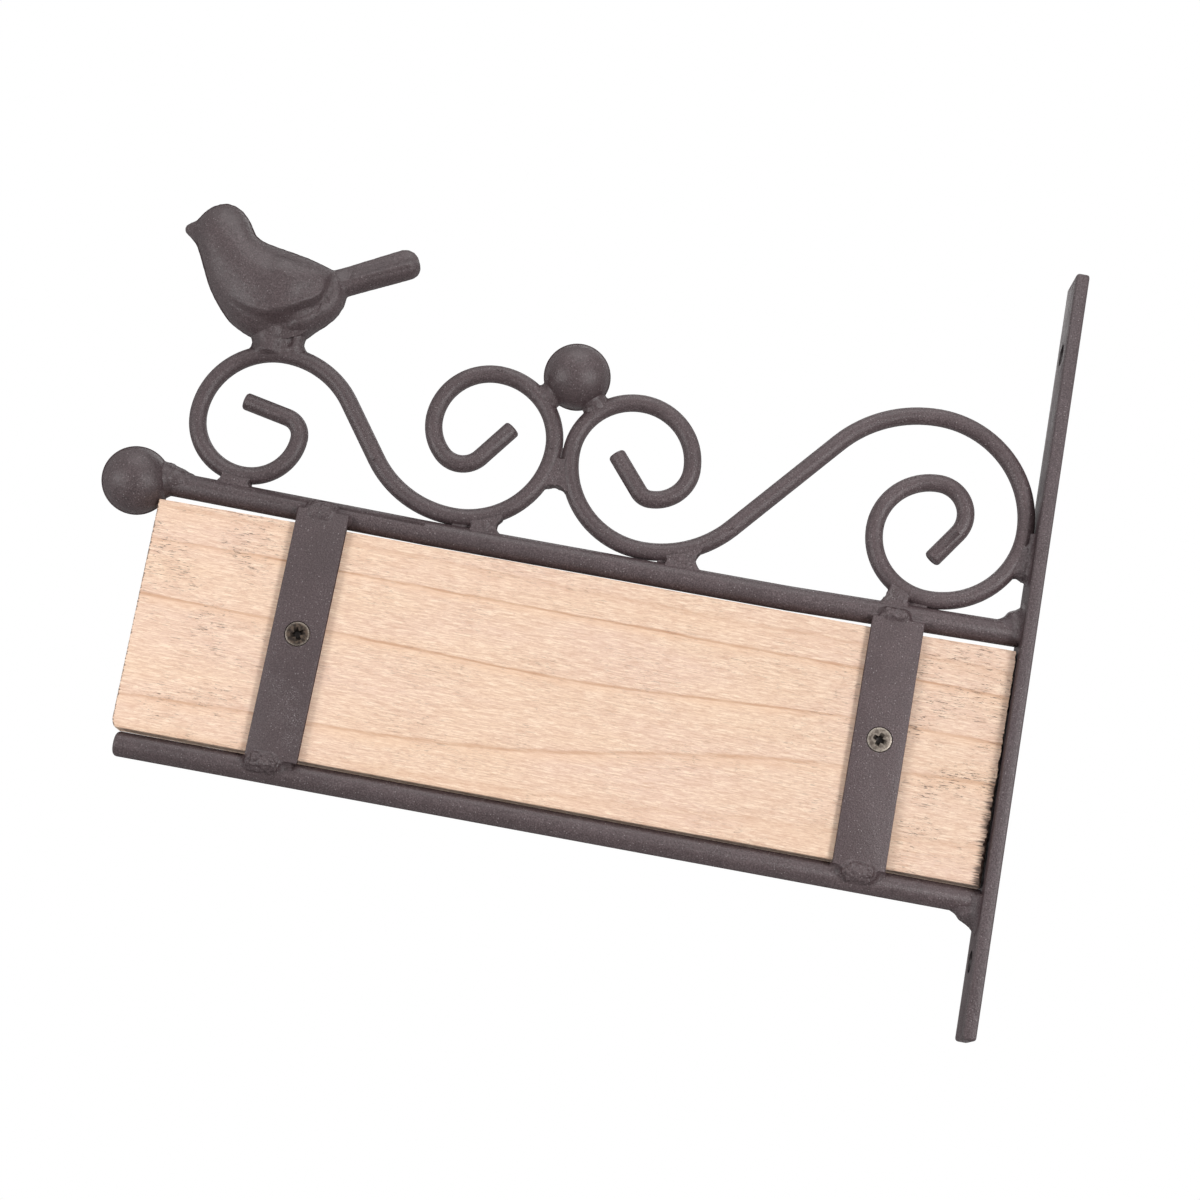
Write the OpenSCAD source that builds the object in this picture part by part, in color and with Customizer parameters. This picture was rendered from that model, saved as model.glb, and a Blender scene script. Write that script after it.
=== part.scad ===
/* [Wall bar] */
// Length of the flat bar that screws to the wall
bar_l = 229; // [210:1:260]
// Width of the bar, across the sign
bar_w = 15; // [12:0.5:20]
// Thickness of the bar
bar_t = 4; // [3:0.25:6]
// Radius of the bar's rolled long edges
bar_edge_r = 0.8; // [0.5:0.1:1.4]
// How far the bar's middle lies above the middle between its holes
bar_shift = 0.8; // [-3:0.1:3]
// Radius of the bar's corners at its two ends
bar_corner_r = 2; // [0.5:0.1:5]
// Distance between the two wall screw holes
hole_spacing = 183; // [170:1:195]
// Diameter of a wall screw hole
hole_d = 6.5; // [4:0.25:8]

/* [Rails] */
// Diameter of the two round rails
rail_d = 7.3; // [5:0.1:8]
// Height of the top rail's level stretch above the middle of the bar
top_rail_z = 3.1; // [0:0.05:10]
// Distance between the two rails' axes
rail_spacing = 77.6; // [75:0.1:90]
// Rise of the top rail towards the end ball
ball_end_rise = 1; // [0.5:0.1:4]
// Length over which the top rail rises towards the end ball
ball_end_run = 77; // [60:1:90]
// Rise of the top rail towards the wall bar
wall_end_rise = 1.5; // [0.5:0.1:4]
// Length over which the top rail rises towards the wall bar
wall_end_run = 72; // [60:1:85]
// Radius of the top rail's two slight bends
knee_r = 60; // [30:5:120]
// How far the top rail's end lies past the bird scroll
rail_overhang = 0.7; // [0.5:0.1:10]
// How much shorter the bottom rail is than the top one
rail_step = 1; // [-3:0.1:5]
// Radius at the edge of the bottom rail's free end
rail_end_r = 1.3; // [0.3:0.1:2]

/* [Plank] */
// Thickness of the wooden plank
plank_t = 9; // [5:0.2:12]
// How far the plank's end reaches past the top rail's end
plank_overhang = 1.9; // [0:0.1:5]
// How far the plank's sawn end leans in from its upper to its lower corner
plank_slant = 1; // [0:0.1:3]
// Radius of the plank's sanded long edges
plank_edge_r = 0.6; // [0.2:0.1:1.5]

/* [Straps and screws] */
// Width of the two flat straps
strap_w = 15.2; // [12:0.5:20]
// Thickness of the straps
strap_t = 2; // [1.5:0.1:3]
// Distance from the wall to the near strap's middle
strap_inset = 39.7; // [30:0.5:60]
// Distance between the middles of the two straps
strap_spacing = 170.4; // [120:0.5:180]
// How far a strap's lower end lies below the bottom rail's upper edge
strap_lap = 0.8; // [0.3:0.1:2.5]
// How far a strap's upper end lies below the top rail's axis
strap_drop = 0.7; // [0:0.1:2]
// Diameter of a plank screw's head
head_d = 7.6; // [6:0.2:9]
// Diameter of a plank screw's shank
screw_d = 3.6; // [2.5:0.1:4.5]
// Length of a plank screw, head and point included
screw_l = 8.4; // [6:0.2:9]
// Length of a plank screw's point
point_l = 2.5; // [1.5:0.1:3.5]
// Length of the cross recess in a screw's head
recess_l = 4.4; // [3:0.1:5.5]
// Width of the cross recess
recess_w = 1; // [0.6:0.1:1.4]
// Depth of the cross recess
recess_depth = 1.2; // [0.6:0.1:1.4]
// Turn of the cross recess, in degrees
recess_turn = 20; // [0:5:45]
// Radius of a plank screw's blunt tip
tip_r = 0.3; // [0.1:0.1:0.6]

/* [Scrolls] */
// Diameter of the scroll rod
rod_d = 5.2; // [4:0.1:6]
// Slope of the bird scroll's neck, in degrees
bird_slope = 53.7; // [45:0.5:60]
// Straight stretch of the bird scroll's neck
bird_straight = 19.6; // [10:0.1:35]
// Slope of the wall scroll's neck, in degrees
wall_slope = 49.6; // [40:0.5:58]
// Straight stretch of the wall scroll's neck
wall_straight = 41.2; // [30:0.1:55]

/* [Balls] */
// Diameter of the ball at the rail's end
end_ball_d = 20.3; // [14:0.1:24]
// Diameter of the ball between the two scrolls
centre_ball_d = 20; // [16:0.1:24]
// How far the end ball's middle lies below the rail's end
end_ball_drop = 1.1; // [0:0.1:3]

/* [Bird] */
// Width of the bird's breast, across the sign
bird_w = 23; // [20:0.5:28]
// Distance of the bird's peg from the scroll's crest
peg_shift = 5.2; // [0:0.2:9]
// Diameter of the peg that carries the bird
peg_d = 8.6; // [7:0.2:11]
// Height of the peg above the scroll rod
peg_h = 8; // [5:0.2:12]

/* [Welds] */
// Radius of the beads between scrolls, rails and bar
bead_r = 4.8; // [4.2:0.1:5.5]
// Radius of the bead between the two scrolls
joint_bead_r = 4.4; // [3.6:0.1:5]
// Radius of the bead between the top rail and the bar
rail_bar_bead_r = 4.4; // [3.6:0.1:5]
// Height of that bead above the rail's axis
rail_bar_bead_up = 3; // [2:0.1:4]
// Radius of the beads between the middle ball and the scrolls
ball_bead_r = 3.6; // [2.8:0.1:4.4]
// Radius of the bead at the end ball
ball_weld_r = 5.2; // [4.5:0.1:6]
// How far the end ball's bead starts behind the rail's end
ball_weld_back = 1.5; // [0.5:0.1:3]
// Height of the end ball's bead above the rail's axis
ball_weld_up = 1.2; // [0.3:0.1:2]
// Distance between the three drops of the end ball's bead
ball_weld_step = 3.2; // [2:0.1:4]
// How much smaller each drop is than the one before
ball_weld_taper = 0.7; // [0.2:0.1:0.8]
// Radius of the bead behind the bird's peg
peg_bead_r = 3.2; // [2.4:0.1:3.6]
// Distance of that bead's middle from the peg
peg_bead_out = 2.6; // [0.5:0.1:3.5]
// Height of that bead's upper end above the scroll rod
peg_bead_up = 1.6; // [0.5:0.1:3]
// Shift of the bead under the bird scroll's curl
bird_curl_shift = 1.9; // [0:0.1:4]
// Radius of the bead between the wall scroll and the bar
bar_bead_r = 3.6; // [3:0.1:4.2]
// Radius of the bead under the bottom rail at the bar
foot_bead_r = 3; // [2.4:0.1:3.6]
// Radius of its lower end
foot_bead_thin = 2.4; // [1.8:0.1:2.8]
// Distance of its upper end from the bar's face
foot_bead_out = 3.6; // [2.5:0.1:5]
// Distance of its lower end from the rail's axis
foot_bead_l = 5.2; // [4.5:0.1:7]
// Half the straight run of the bead between the wall scroll and the bar
bar_bead_half = 2; // [0.5:0.1:3]
// Distance of the beads at the bar from its face
bar_bead_out = 1; // [0.2:0.1:2]
// Radius of the beads over the straps' ends
strap_bead_r = 3.1; // [2.4:0.1:4]
// Length of the beads over the straps' ends
strap_bead_l = 10.5; // [8:0.5:14]
// Height of those beads past the strap's end
strap_bead_up = 0.9; // [0.3:0.1:2]
// How far those beads sink behind the strap's inner face
strap_bead_in = 0.4; // [0.2:0.1:1]
// Shift of the bead at the outer strap's foot
foot_bead_shift = 2.3; // [0:0.1:3.5]
// Shift of the bird scroll's foot bead along the rail
bird_foot_shift = 8.3; // [7:0.1:10]
// Shift of the wall scroll's foot bead along the rail
wall_foot_shift = 13.2; // [9:0.1:14]
// Shift of the bead under the wall scroll's big curl
wall_curl_shift = 8; // [7:0.1:9]
// Drop of the bead between the two scrolls below their nearest point
scroll_bead_drop = 7.4; // [6:0.1:10]
// Drop of the bead between scroll and bar below their nearest point
bar_bead_drop = 9.5; // [8:0.1:12]

/* [Clearances] */
// Gap left where two bars only touch
touch_gap = 0.1; // [0.05:0.05:0.5]
// Gap from the middle ball to the scrolls, which its beads fill
ball_gap = 0.1; // [0.05:0.05:0.5]
// Gap round the plank, to the rails
plank_gap = 0.9; // [0.3:0.1:1.5]
// Gap from the plank's end to the wall bar
plank_wall_gap = 0.25; // [0.1:0.05:3]
// Gap round a screw's shank and a peg
fit_gap = 0.05; // [0.02:0.01:0.2]
// Gap from the plank to the straps' inner faces
strap_gap = 0.05; // [0:0.05:0.3]

/* [Hidden] */
$fn = 64;

steel = [0.31, 0.27, 0.27];
wood = [0.86, 0.72, 0.58];
brass = [0.42, 0.35, 0.24];

// A bent rod is a list of rows, [bend radius, turn in degrees]. A turn to the left of the way is
// positive, and a row with radius 0 is a straight stretch with its length in the second place.
// A state along the rod is [x, z, heading], in the plane of the sign.
function side(turn) = turn < 0 ? -1 : 1;
function after(s, row) = row[0] == 0
    ? [s[0] + row[1] * cos(s[2]), s[1] + row[1] * sin(s[2]), s[2]]
    : let (r = side(row[1]) * row[0], h = s[2] + row[1])
        [s[0] - r * sin(s[2]) + r * sin(h), s[1] + r * cos(s[2]) - r * cos(h), h];
function states(s, rows, i = 0) = i == len(rows)
    ? [s]
    : concat([s], states(after(s, rows[i]), rows, i + 1));

// The bend tables of the scrolls, from the foot on the rail. The neck climbs from the foot to the crest
// and goes on into the upper curl. The inner curl leaves the foot the other way, and its table is that
// of its mirror image.
function neck(foot_r, slope, straight, crest_r) = [[foot_r, slope], [0, straight], [crest_r, -slope]];
bird_neck = neck(31.9, bird_slope, bird_straight, 26.7);
bird_curl = [[21.7, -90], [17, -90], [14, -90], [5.9, -78.4], [0, 13.8]];
bird_inner_rows = [[25.3, 90], [20, 90], [16.6, 90], [14.4, 47.1], [7.5, 96.3], [0, 13.2]];
wall_neck = neck(32.8, wall_slope, wall_straight, 37.3);
wall_curl = [[30, -90], [25.3, -90], [18.5, -90], [16.8, -90], [9, -124.8], [0, 11.2]];
wall_inner_rows = [[25.8, 90], [18.4, 90], [17.7, 90], [10.8, 90], [4.5, 49.8], [0, 13.5]];
neck_rows = len(bird_neck);

// The wall bar's outer face is at x = 0 and its middle is the origin
rail_r = rail_d / 2;
rod_r = rod_d / 2;
bar_x = -bar_t;
bottom_rail_z = top_rail_z - rail_spacing;
// Gap between two bends inside their sleeve, and the sleeve's wall and length
hair = 0.02;
sleeve_t = 0.015;
sleeve_l = 0.4;

// The two scrolls stand on the top rail. The wall scroll's big curl touches the bar, and the bird
// scroll's inner curl touches that of the wall scroll.
wall_way = states([0, 0, 0], concat(wall_neck, wall_curl));
bird_way = states([0, 0, 0], concat(bird_neck, bird_curl));
wall_side = wall_way[neck_rows + 1];
wall_low = wall_way[neck_rows + 2];
bird_crest = bird_way[neck_rows];
bird_side = bird_way[neck_rows + 1];
bird_low = bird_way[neck_rows + 2];
wall_foot_x = bar_x - touch_gap - rod_r - wall_side[0];
wall_inner_r = wall_inner_rows[0][0];
bird_inner_r = bird_inner_rows[0][0];
bird_foot_x = wall_foot_x - wall_inner_r - rod_d - touch_gap - bird_inner_r;
foot_z = top_rail_z + rail_r + touch_gap + rod_r;
scroll_joint = [wall_foot_x - wall_inner_r - rod_r - touch_gap / 2, foot_z + wall_inner_r];

// The top rail is level under the scrolls and bent up a little towards both ends. Its rows start
// behind the bar's face, where it is cut off.
rail_end_x = bird_foot_x - bird_side[0] - rod_r - rail_overhang;
ball_end_turn = atan(ball_end_rise / ball_end_run);
wall_end_turn = atan(wall_end_rise / wall_end_run);
ball_knee = knee_r * tan(ball_end_turn / 2);
wall_knee = knee_r * tan(wall_end_turn / 2);
function rail_z(x) = top_rail_z
    + max(0, rail_end_x + ball_end_run - x) * tan(ball_end_turn)
    + max(0, x + wall_end_run) * tan(wall_end_turn);
rail_rows = [
    [0, wall_end_run / cos(wall_end_turn) - wall_knee],
    [knee_r, -wall_end_turn],
    [0, -rail_end_x - ball_end_run - wall_end_run - ball_knee - wall_knee],
    [knee_r, -ball_end_turn],
    [0, ball_end_run / cos(ball_end_turn) - ball_knee]];
rail_start = [0, rail_z(0), 180 + wall_end_turn];
bottom_rail_x = rail_end_x + rail_step;

// Plank, straps and screws
plank_x = rail_end_x - plank_overhang;
plank_l = bar_x - plank_wall_gap - plank_x;
plank_top = top_rail_z - rail_r - plank_gap;
plank_foot = bottom_rail_z + rail_r + plank_gap;
plank_y = -rail_r + strap_gap;
strap_y = -rail_r - strap_t;
strap_foot = bottom_rail_z + rail_r - strap_lap;
inner_strap_x = -strap_inset;
outer_strap_x = -strap_inset - strap_spacing;
function strap_top(x) = rail_z(x) - strap_drop;
function screw_z(x) = (strap_top(x) + strap_foot) / 2;

// Balls
end_ball_r = end_ball_d / 2;
end_ball = [rail_end_x - (end_ball_r + touch_gap) * cos(ball_end_turn),
    rail_z(rail_end_x) + (end_ball_r + touch_gap) * sin(ball_end_turn) - end_ball_drop];
centre_ball_r = centre_ball_d / 2;
left_r = bird_inner_rows[1][0];
right_r = wall_inner_rows[1][0];
left_arc = [bird_foot_x + bird_inner_r - left_r, foot_z + bird_inner_r, left_r];
right_arc = [wall_foot_x - wall_inner_r + right_r, foot_z + wall_inner_r, right_r];
function resting(a, b, r) =
    let (ra = a[2] + rod_r + ball_gap + r, rb = b[2] + rod_r + ball_gap + r, d = [b[0] - a[0], b[1] - a[1]],
        l = norm(d), u = d / l, k = (ra * ra - rb * rb + l * l) / (2 * l), h = sqrt(ra * ra - k * k))
        [a[0] + k * u[0] - h * u[1], a[1] + k * u[1] + h * u[0]];
centre_ball = resting(left_arc, right_arc, centre_ball_r);

// Bird and its peg, on the crest of the bird scroll
crest_r = bird_curl[0][0];
peg_x = bird_foot_x - bird_crest[0] - peg_shift;
crest_mid_z = foot_z + bird_crest[1] - crest_r;
peg_rod_z = crest_mid_z + sqrt(crest_r * crest_r - peg_shift * peg_shift);
bird_z = peg_rod_z + rod_r;

// One bend or straight of a rod, from the origin along x
module bend(row, d) {
    if (row[0] == 0) rotate([0, 90, 0]) cylinder(d = d, h = row[1]);
    else mirror([0, 0, row[1] < 0 ? 1 : 0]) translate([0, 0, row[0]]) rotate([90, 90, 0])
        rotate_extrude(angle = abs(row[1])) translate([row[0], 0]) circle(d = d);
}
module at_state(s) { translate([s[0], 0, s[1]]) rotate([0, -s[2], 0]) children(); }

// A rod that starts at a state and follows its rows. Its bends stop a hair short of each other inside
// a thin sleeve that makes them one piece.
function part_of(row, l) = [row[0], row[0] == 0 ? l : side(row[1]) * l / row[0] * 180 / PI];
function way_length(row) = row[0] == 0 ? row[1] : row[0] * abs(row[1]) * PI / 180;
module rod(start, rows, d) {
    way = states(start, rows);
    last = len(rows) - 1;
    for (i = [0:last]) {
        head = hair;
        tail = i == last ? 0 : hair;
        at_state(after(way[i], part_of(rows[i], head)))
            bend(part_of(rows[i], way_length(rows[i]) - head - tail), d);
    }
    for (i = [1:1:last]) at_state(way[i]) bend_sleeve(d);
}
module bend_sleeve(d) { rotate([0, 90, 0]) cylinder(d = d + 2 * sleeve_t, h = sleeve_l, center = true); }
module foot_sleeve() { bend_sleeve(rod_d); }

// A lump of weld metal from one point to another, before the bars are cut out of it
module bead(a, ra, b, rb) {
    way = b - a;
    l = norm(way);
    translate(a) sphere(ra);
    translate(b) sphere(rb);
    translate(a) rotate([0, acos(way[2] / l), atan2(way[1], way[0])]) cylinder(r1 = ra, r2 = rb, h = l);
}

// A flat bar with rolled edges, standing on end
module rounded_bar(w, t, r, h) {
    linear_extrude(h) {
        square([t, w - 2 * r], center = true);
        square([t - 2 * r, w], center = true);
        for (x = [-1, 1], y = [-1, 1]) translate([x * (t / 2 - r), y * (w / 2 - r)]) circle(r);
    }
}

module wall_bar_solid() {
    difference() {
        intersection() {
            translate([-bar_t / 2, 0, bar_shift - bar_l / 2]) rounded_bar(bar_w, bar_t, bar_edge_r, bar_l);
            translate([-bar_t, 0, bar_shift]) rotate([0, 90, 0])
                rounded_bar(bar_w, bar_l, bar_corner_r, bar_t);
        }
        for (z = [-1, 1]) translate([-bar_t - 1, 0, z * hole_spacing / 2])
            rotate([0, 90, 0]) cylinder(d = hole_d, h = bar_t + 2);
    }
}
module top_rail_solid() {
    difference() {
        rod(rail_start, rail_rows, rail_d);
        translate([bar_x, -rail_d, rail_z(bar_x) - rail_d]) cube([2 * rail_d, 2 * rail_d, 2 * rail_d]);
    }
}
module bottom_rail_solid() {
    l = bar_x - bottom_rail_x;
    translate([bar_x, 0, bottom_rail_z]) rotate([0, -90, 0]) rotate_extrude() {
        square([rail_r, l - rail_end_r]);
        square([rail_r - rail_end_r, l]);
        intersection() {
            translate([rail_r - rail_end_r, l - rail_end_r]) circle(rail_end_r);
            square([rail_r, l]);
        }
    }
}
module bird_place() { translate([bird_foot_x, 0, foot_z]) children(); }
module wall_place() { translate([wall_foot_x, 0, foot_z]) children(); }
module bird_outer() { bird_place() mirror([1, 0, 0]) rod([0, 0, 0], concat(bird_neck, bird_curl), rod_d); }
module bird_inner() { bird_place() rod([0, 0, 0], bird_inner_rows, rod_d); }
module wall_outer() { wall_place() rod([0, 0, 0], concat(wall_neck, wall_curl), rod_d); }
module wall_inner() { wall_place() mirror([1, 0, 0]) rod([0, 0, 0], wall_inner_rows, rod_d); }
module bird_scroll_solid() {
    bird_outer();
    bird_inner();
    bird_place() foot_sleeve();
}
module wall_scroll_solid() {
    wall_outer();
    wall_inner();
    wall_place() foot_sleeve();
}
module end_ball_solid() { translate([end_ball[0], 0, end_ball[1]]) sphere(end_ball_r); }
module centre_ball_solid() { translate([centre_ball[0], 0, centre_ball[1]]) sphere(centre_ball_r); }

// A countersunk screw, its head's face at y = 0 and its point towards +y
module screw_solid(grow = 0) {
    head_h = (head_d - screw_d) / 2;
    rotate([-90, 0, 0]) rotate_extrude() polygon([
        [0, -grow], [head_d / 2 + grow, -grow], [screw_d / 2 + grow, head_h],
        [screw_d / 2 + grow, screw_l - point_l], [tip_r, screw_l + grow], [0, screw_l + grow]]);
}
module strap_screw(x, grow = 0) { translate([x, strap_y, screw_z(x)]) screw_solid(grow); }
module screw_with_recess(x) {
    difference() {
        strap_screw(x);
        translate([x, strap_y, screw_z(x)])
            for (turn = [recess_turn, recess_turn + 90]) rotate([0, turn, 0])
                cube([recess_l, 2 * recess_depth, recess_w], center = true);
    }
}
module strap_solid(x) {
    difference() {
        translate([x - strap_w / 2, strap_y, strap_foot]) cube([strap_w, strap_t, strap_top(x) - strap_foot]);
        strap_screw(x, fit_gap);
    }
}
module plank_solid() {
    difference() {
        intersection() {
            translate([plank_x, plank_y + plank_t / 2, (plank_top + plank_foot) / 2]) rotate([0, 90, 0])
                rounded_bar(plank_t, plank_top - plank_foot, plank_edge_r, plank_l);
            translate([plank_x, plank_y + plank_t, 0]) rotate([90, 0, 0]) linear_extrude(plank_t)
                polygon([[0, plank_top], [plank_slant, plank_foot], [plank_l, plank_foot], [plank_l, plank_top]]);
        }
        strap_screw(inner_strap_x, fit_gap);
        strap_screw(outer_strap_x, fit_gap);
    }
}

// The peg is a short stud that sits astride the scroll rod and stands up into the bird
module peg_bar(grow = 0) {
    translate([peg_x, 0, peg_rod_z]) cylinder(d = peg_d + 2 * grow, h = rod_r + peg_h + grow);
}
module peg_solid() {
    difference() {
        peg_bar();
        bird_outer();
    }
}

// The bird's body, as stations from the beak to the rump: [place along the body, height of its back,
// height of its belly, height of its widest line, width as a share of bird_w]. Heights and places are
// measured from the top of the scroll rod under the peg.
bird_stations = [
    [-32.7, 32.2, 30.7, 31.4, 0.1], [-31.6, 33.3, 29.8, 31.5, 0.15], [-29.6, 34.6, 28.3, 31.4, 0.26],
    [-28, 37, 26.6, 31.4, 0.44], [-25.4, 39.7, 21.8, 30.6, 0.66], [-21.4, 41.3, 14.2, 28.4, 0.82],
    [-17, 40, 8.6, 24.6, 0.88], [-13.6, 36.6, 5.2, 21, 0.93], [-11.4, 33.2, 3.9, 19.4, 0.96],
    [-8.4, 31.3, 2.4, 18.2, 0.99], [-4.3, 30.3, 1.3, 17.4, 1], [1, 29.4, 0.9, 17.2, 0.97],
    [6, 28.5, 1.4, 17.8, 0.87], [9.5, 27.6, 3.4, 18.4, 0.77], [12, 26.9, 6.2, 19, 0.68],
    [15.2, 25.8, 9.2, 19.4, 0.53], [17.8, 24.2, 12.6, 19.4, 0.36], [19.3, 21.6, 16.4, 19.4, 0.12]];
ring_steps = 2;
ring_sides = 28;
function spline(p, i, t) =
    let (a = p[max(i - 1, 0)], b = p[i], c = p[i + 1], d = p[min(i + 2, len(p) - 1)])
        b + t / 2 * (c - a + t * (2 * a - 5 * b + 4 * c - d + t * (3 * (b - c) + d - a)));
function ring(s) = [for (k = [0:ring_sides - 1])
    let (turn = 360 * k / ring_sides, tall = cos(turn) > 0 ? s[1] - s[3] : s[3] - s[2])
        [s[0], s[4] * bird_w / 2 * sin(turn), s[3] + tall * cos(turn)]];
module bird_body() {
    last = len(bird_stations) - 1;
    rings = [for (i = [0:last - 1], j = [0:ring_steps - 1]) ring(spline(bird_stations, i, j / ring_steps)),
        ring(bird_stations[last])];
    n = ring_sides;
    polyhedron(
        points = [for (r = rings) each r],
        faces = concat(
            [[for (k = [n - 1:-1:0]) k]],
            [for (i = [0:len(rings) - 2], k = [0:n - 1]) each [
                [i * n + k, i * n + (k + 1) % n, (i + 1) * n + k],
                [i * n + (k + 1) % n, (i + 1) * n + (k + 1) % n, (i + 1) * n + k]]],
            [[for (k = [0:n - 1]) (len(rings) - 1) * n + k]]));
}

// A feather: a hull between two flattened balls, each [place, distance from the middle, height, radius]
module feather(a, b, flat) {
    hull() for (p = [a, b]) translate([p[0], p[1], p[2]]) scale([1, flat, 1]) sphere(p[3], $fn = 20);
}
wing_y = bird_w / 2;
module wing(turned) {
    mirror([0, turned, 0]) {
        feather([-14, wing_y - 5.6, 21, 7], [0, wing_y - 2.6, 17.5, 7.4], 0.35);
        feather([0, wing_y - 2.6, 17.5, 7.4], [10.6, wing_y - 4, 21.4, 1.6], 0.35);
        feather([-13, wing_y - 5, 16, 5], [4, wing_y - 2.6, 14.6, 3.4], 0.35);
    }
}
module tail() {
    feather([14, 0, 22, 3.8], [34.7, 0, 32.8, 4.2], 0.9);
    feather([16, 0, 21.2, 3.2], [35.9, 0, 31.6, 3.6], 1.2);
}
module bird_solid() {
    difference() {
        translate([peg_x, 0, bird_z]) {
            bird_body();
            wing(0);
            wing(1);
            tail();
        }
        peg_bar(fit_gap);
        peg_bead(fit_gap);
    }
}

// Welds. Each is a bead with the pieces that it joins cut out of it, so it fills the space between them.
module rail_bead(low_x, lean, arc_r, low_z) {
    x = low_x + lean;
    rod_z = low_z + arc_r - sqrt(arc_r * arc_r - lean * lean);
    translate([x, 0, (rod_z - rod_r + rail_z(x) + rail_r) / 2]) sphere(bead_r);
}
module wall_curl_bead() {
    rail_bead(wall_foot_x + wall_low[0], -wall_curl_shift, wall_curl[2][0], foot_z + wall_low[1]);
}
module peg_bead(grow = 0) {
    x = peg_x + peg_d / 2 + peg_bead_out;
    bead([x, 0, bird_z + peg_bead_up], peg_bead_r + grow, [x, 0, bird_z], peg_bead_r + grow);
}
module strap_bead(x, z) {
    step = strap_bead_l / 2 - strap_bead_r;
    for (i = [-1:1]) translate([x + i * step, strap_y + strap_t - strap_bead_in, z]) sphere(strap_bead_r);
}
module touch_bead(arc) {
    way = centre_ball - [arc[0], arc[1]];
    at = [arc[0], arc[1]] + way / norm(way) * (arc[2] + rod_r);
    translate([at[0], 0, at[1]]) sphere(ball_bead_r);
}

module wall_bar() { color(steel) wall_bar_solid(); }
module top_rail() { color(steel) top_rail_solid(); }
module bottom_rail() { color(steel) bottom_rail_solid(); }
module bird_scroll() { color(steel) bird_scroll_solid(); }
module wall_scroll() { color(steel) wall_scroll_solid(); }
module end_ball() { color(steel) end_ball_solid(); }
module centre_ball() { color(steel) centre_ball_solid(); }
module bird() { color(steel) bird_solid(); }
module bird_peg() { color(steel) peg_solid(); }
module outer_strap() { color(steel) strap_solid(outer_strap_x); }
module inner_strap() { color(steel) strap_solid(inner_strap_x); }
module plank() { color(wood) plank_solid(); }
module outer_screw() { color(brass) screw_with_recess(outer_strap_x); }
module inner_screw() { color(brass) screw_with_recess(inner_strap_x); }
module end_ball_weld() {
    color(steel) difference() {
        for (i = [0:2]) translate([
            rail_end_x - ball_weld_back + i * ball_weld_step, 0,
            rail_z(rail_end_x + i * ball_weld_step) + ball_weld_up * (1 - i / 4)])
            sphere(ball_weld_r - i * ball_weld_taper);
        end_ball_solid();
        top_rail_solid();
    }
}
module bird_peg_weld() {
    color(steel) difference() {
        peg_bead();
        peg_bar();
        bird_outer();
    }
}
module bird_curl_weld() {
    color(steel) difference() {
        rail_bead(bird_foot_x - bird_low[0], -bird_curl_shift, bird_curl[1][0], foot_z + bird_low[1]);
        bird_outer();
        top_rail_solid();
    }
}
module bird_foot_weld() {
    color(steel) difference() {
        rail_bead(bird_foot_x, bird_foot_shift, bird_inner_r, foot_z);
        bird_inner();
        top_rail_solid();
    }
}
module wall_foot_weld() {
    color(steel) difference() {
        rail_bead(wall_foot_x, wall_foot_shift, wall_neck[0][0], foot_z);
        wall_outer();
        top_rail_solid();
    }
}
module wall_curl_weld() {
    color(steel) difference() {
        wall_curl_bead();
        wall_outer();
        top_rail_solid();
        strap_bead(inner_strap_x, strap_top(inner_strap_x) + strap_bead_up);
    }
}
module scroll_joint_weld() {
    color(steel) difference() {
        translate([scroll_joint[0], 0, scroll_joint[1] - scroll_bead_drop]) sphere(joint_bead_r);
        bird_inner();
        wall_inner();
    }
}
module centre_ball_welds() {
    $fn = 128;
    color(steel) {
        difference() {
            touch_bead(left_arc);
            centre_ball_solid();
            bird_inner();
        }
        difference() {
            touch_bead(right_arc);
            centre_ball_solid();
            wall_inner();
        }
    }
}
module scroll_bar_weld() {
    z = foot_z + wall_side[1] - bar_bead_drop;
    color(steel) difference() {
        bead([bar_x - bar_bead_out, 0, z - bar_bead_half], bar_bead_r,
            [bar_x - bar_bead_out, 0, z + bar_bead_half], bar_bead_r);
        wall_outer();
        wall_bar_solid();
    }
}
module top_rail_bar_weld() {
    color(steel) difference() {
        translate([bar_x - bar_bead_out, 0, rail_z(bar_x) + rail_bar_bead_up]) sphere(rail_bar_bead_r);
        top_rail_solid();
        wall_bar_solid();
    }
}
module bottom_rail_bar_weld() {
    color(steel) difference() {
        bead([bar_x - foot_bead_out, 0, bottom_rail_z - foot_bead_r], foot_bead_r,
            [bar_x - bar_bead_out, 0, bottom_rail_z - foot_bead_l], foot_bead_thin);
        bottom_rail_solid();
        wall_bar_solid();
    }
}
module outer_strap_top_weld() {
    color(steel) difference() {
        strap_bead(outer_strap_x, strap_top(outer_strap_x) + strap_bead_up);
        strap_solid(outer_strap_x);
        top_rail_solid();
    }
}
module inner_strap_top_weld() {
    color(steel) difference() {
        strap_bead(inner_strap_x, strap_top(inner_strap_x) + strap_bead_up);
        strap_solid(inner_strap_x);
        top_rail_solid();
    }
}
module outer_strap_foot_weld() {
    color(steel) difference() {
        strap_bead(outer_strap_x - foot_bead_shift, strap_foot - strap_bead_up);
        strap_solid(outer_strap_x);
        bottom_rail_solid();
        plank_solid();
    }
}
module inner_strap_foot_weld() {
    color(steel) difference() {
        strap_bead(inner_strap_x, strap_foot - strap_bead_up);
        strap_solid(inner_strap_x);
        bottom_rail_solid();
        plank_solid();
    }
}

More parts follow.
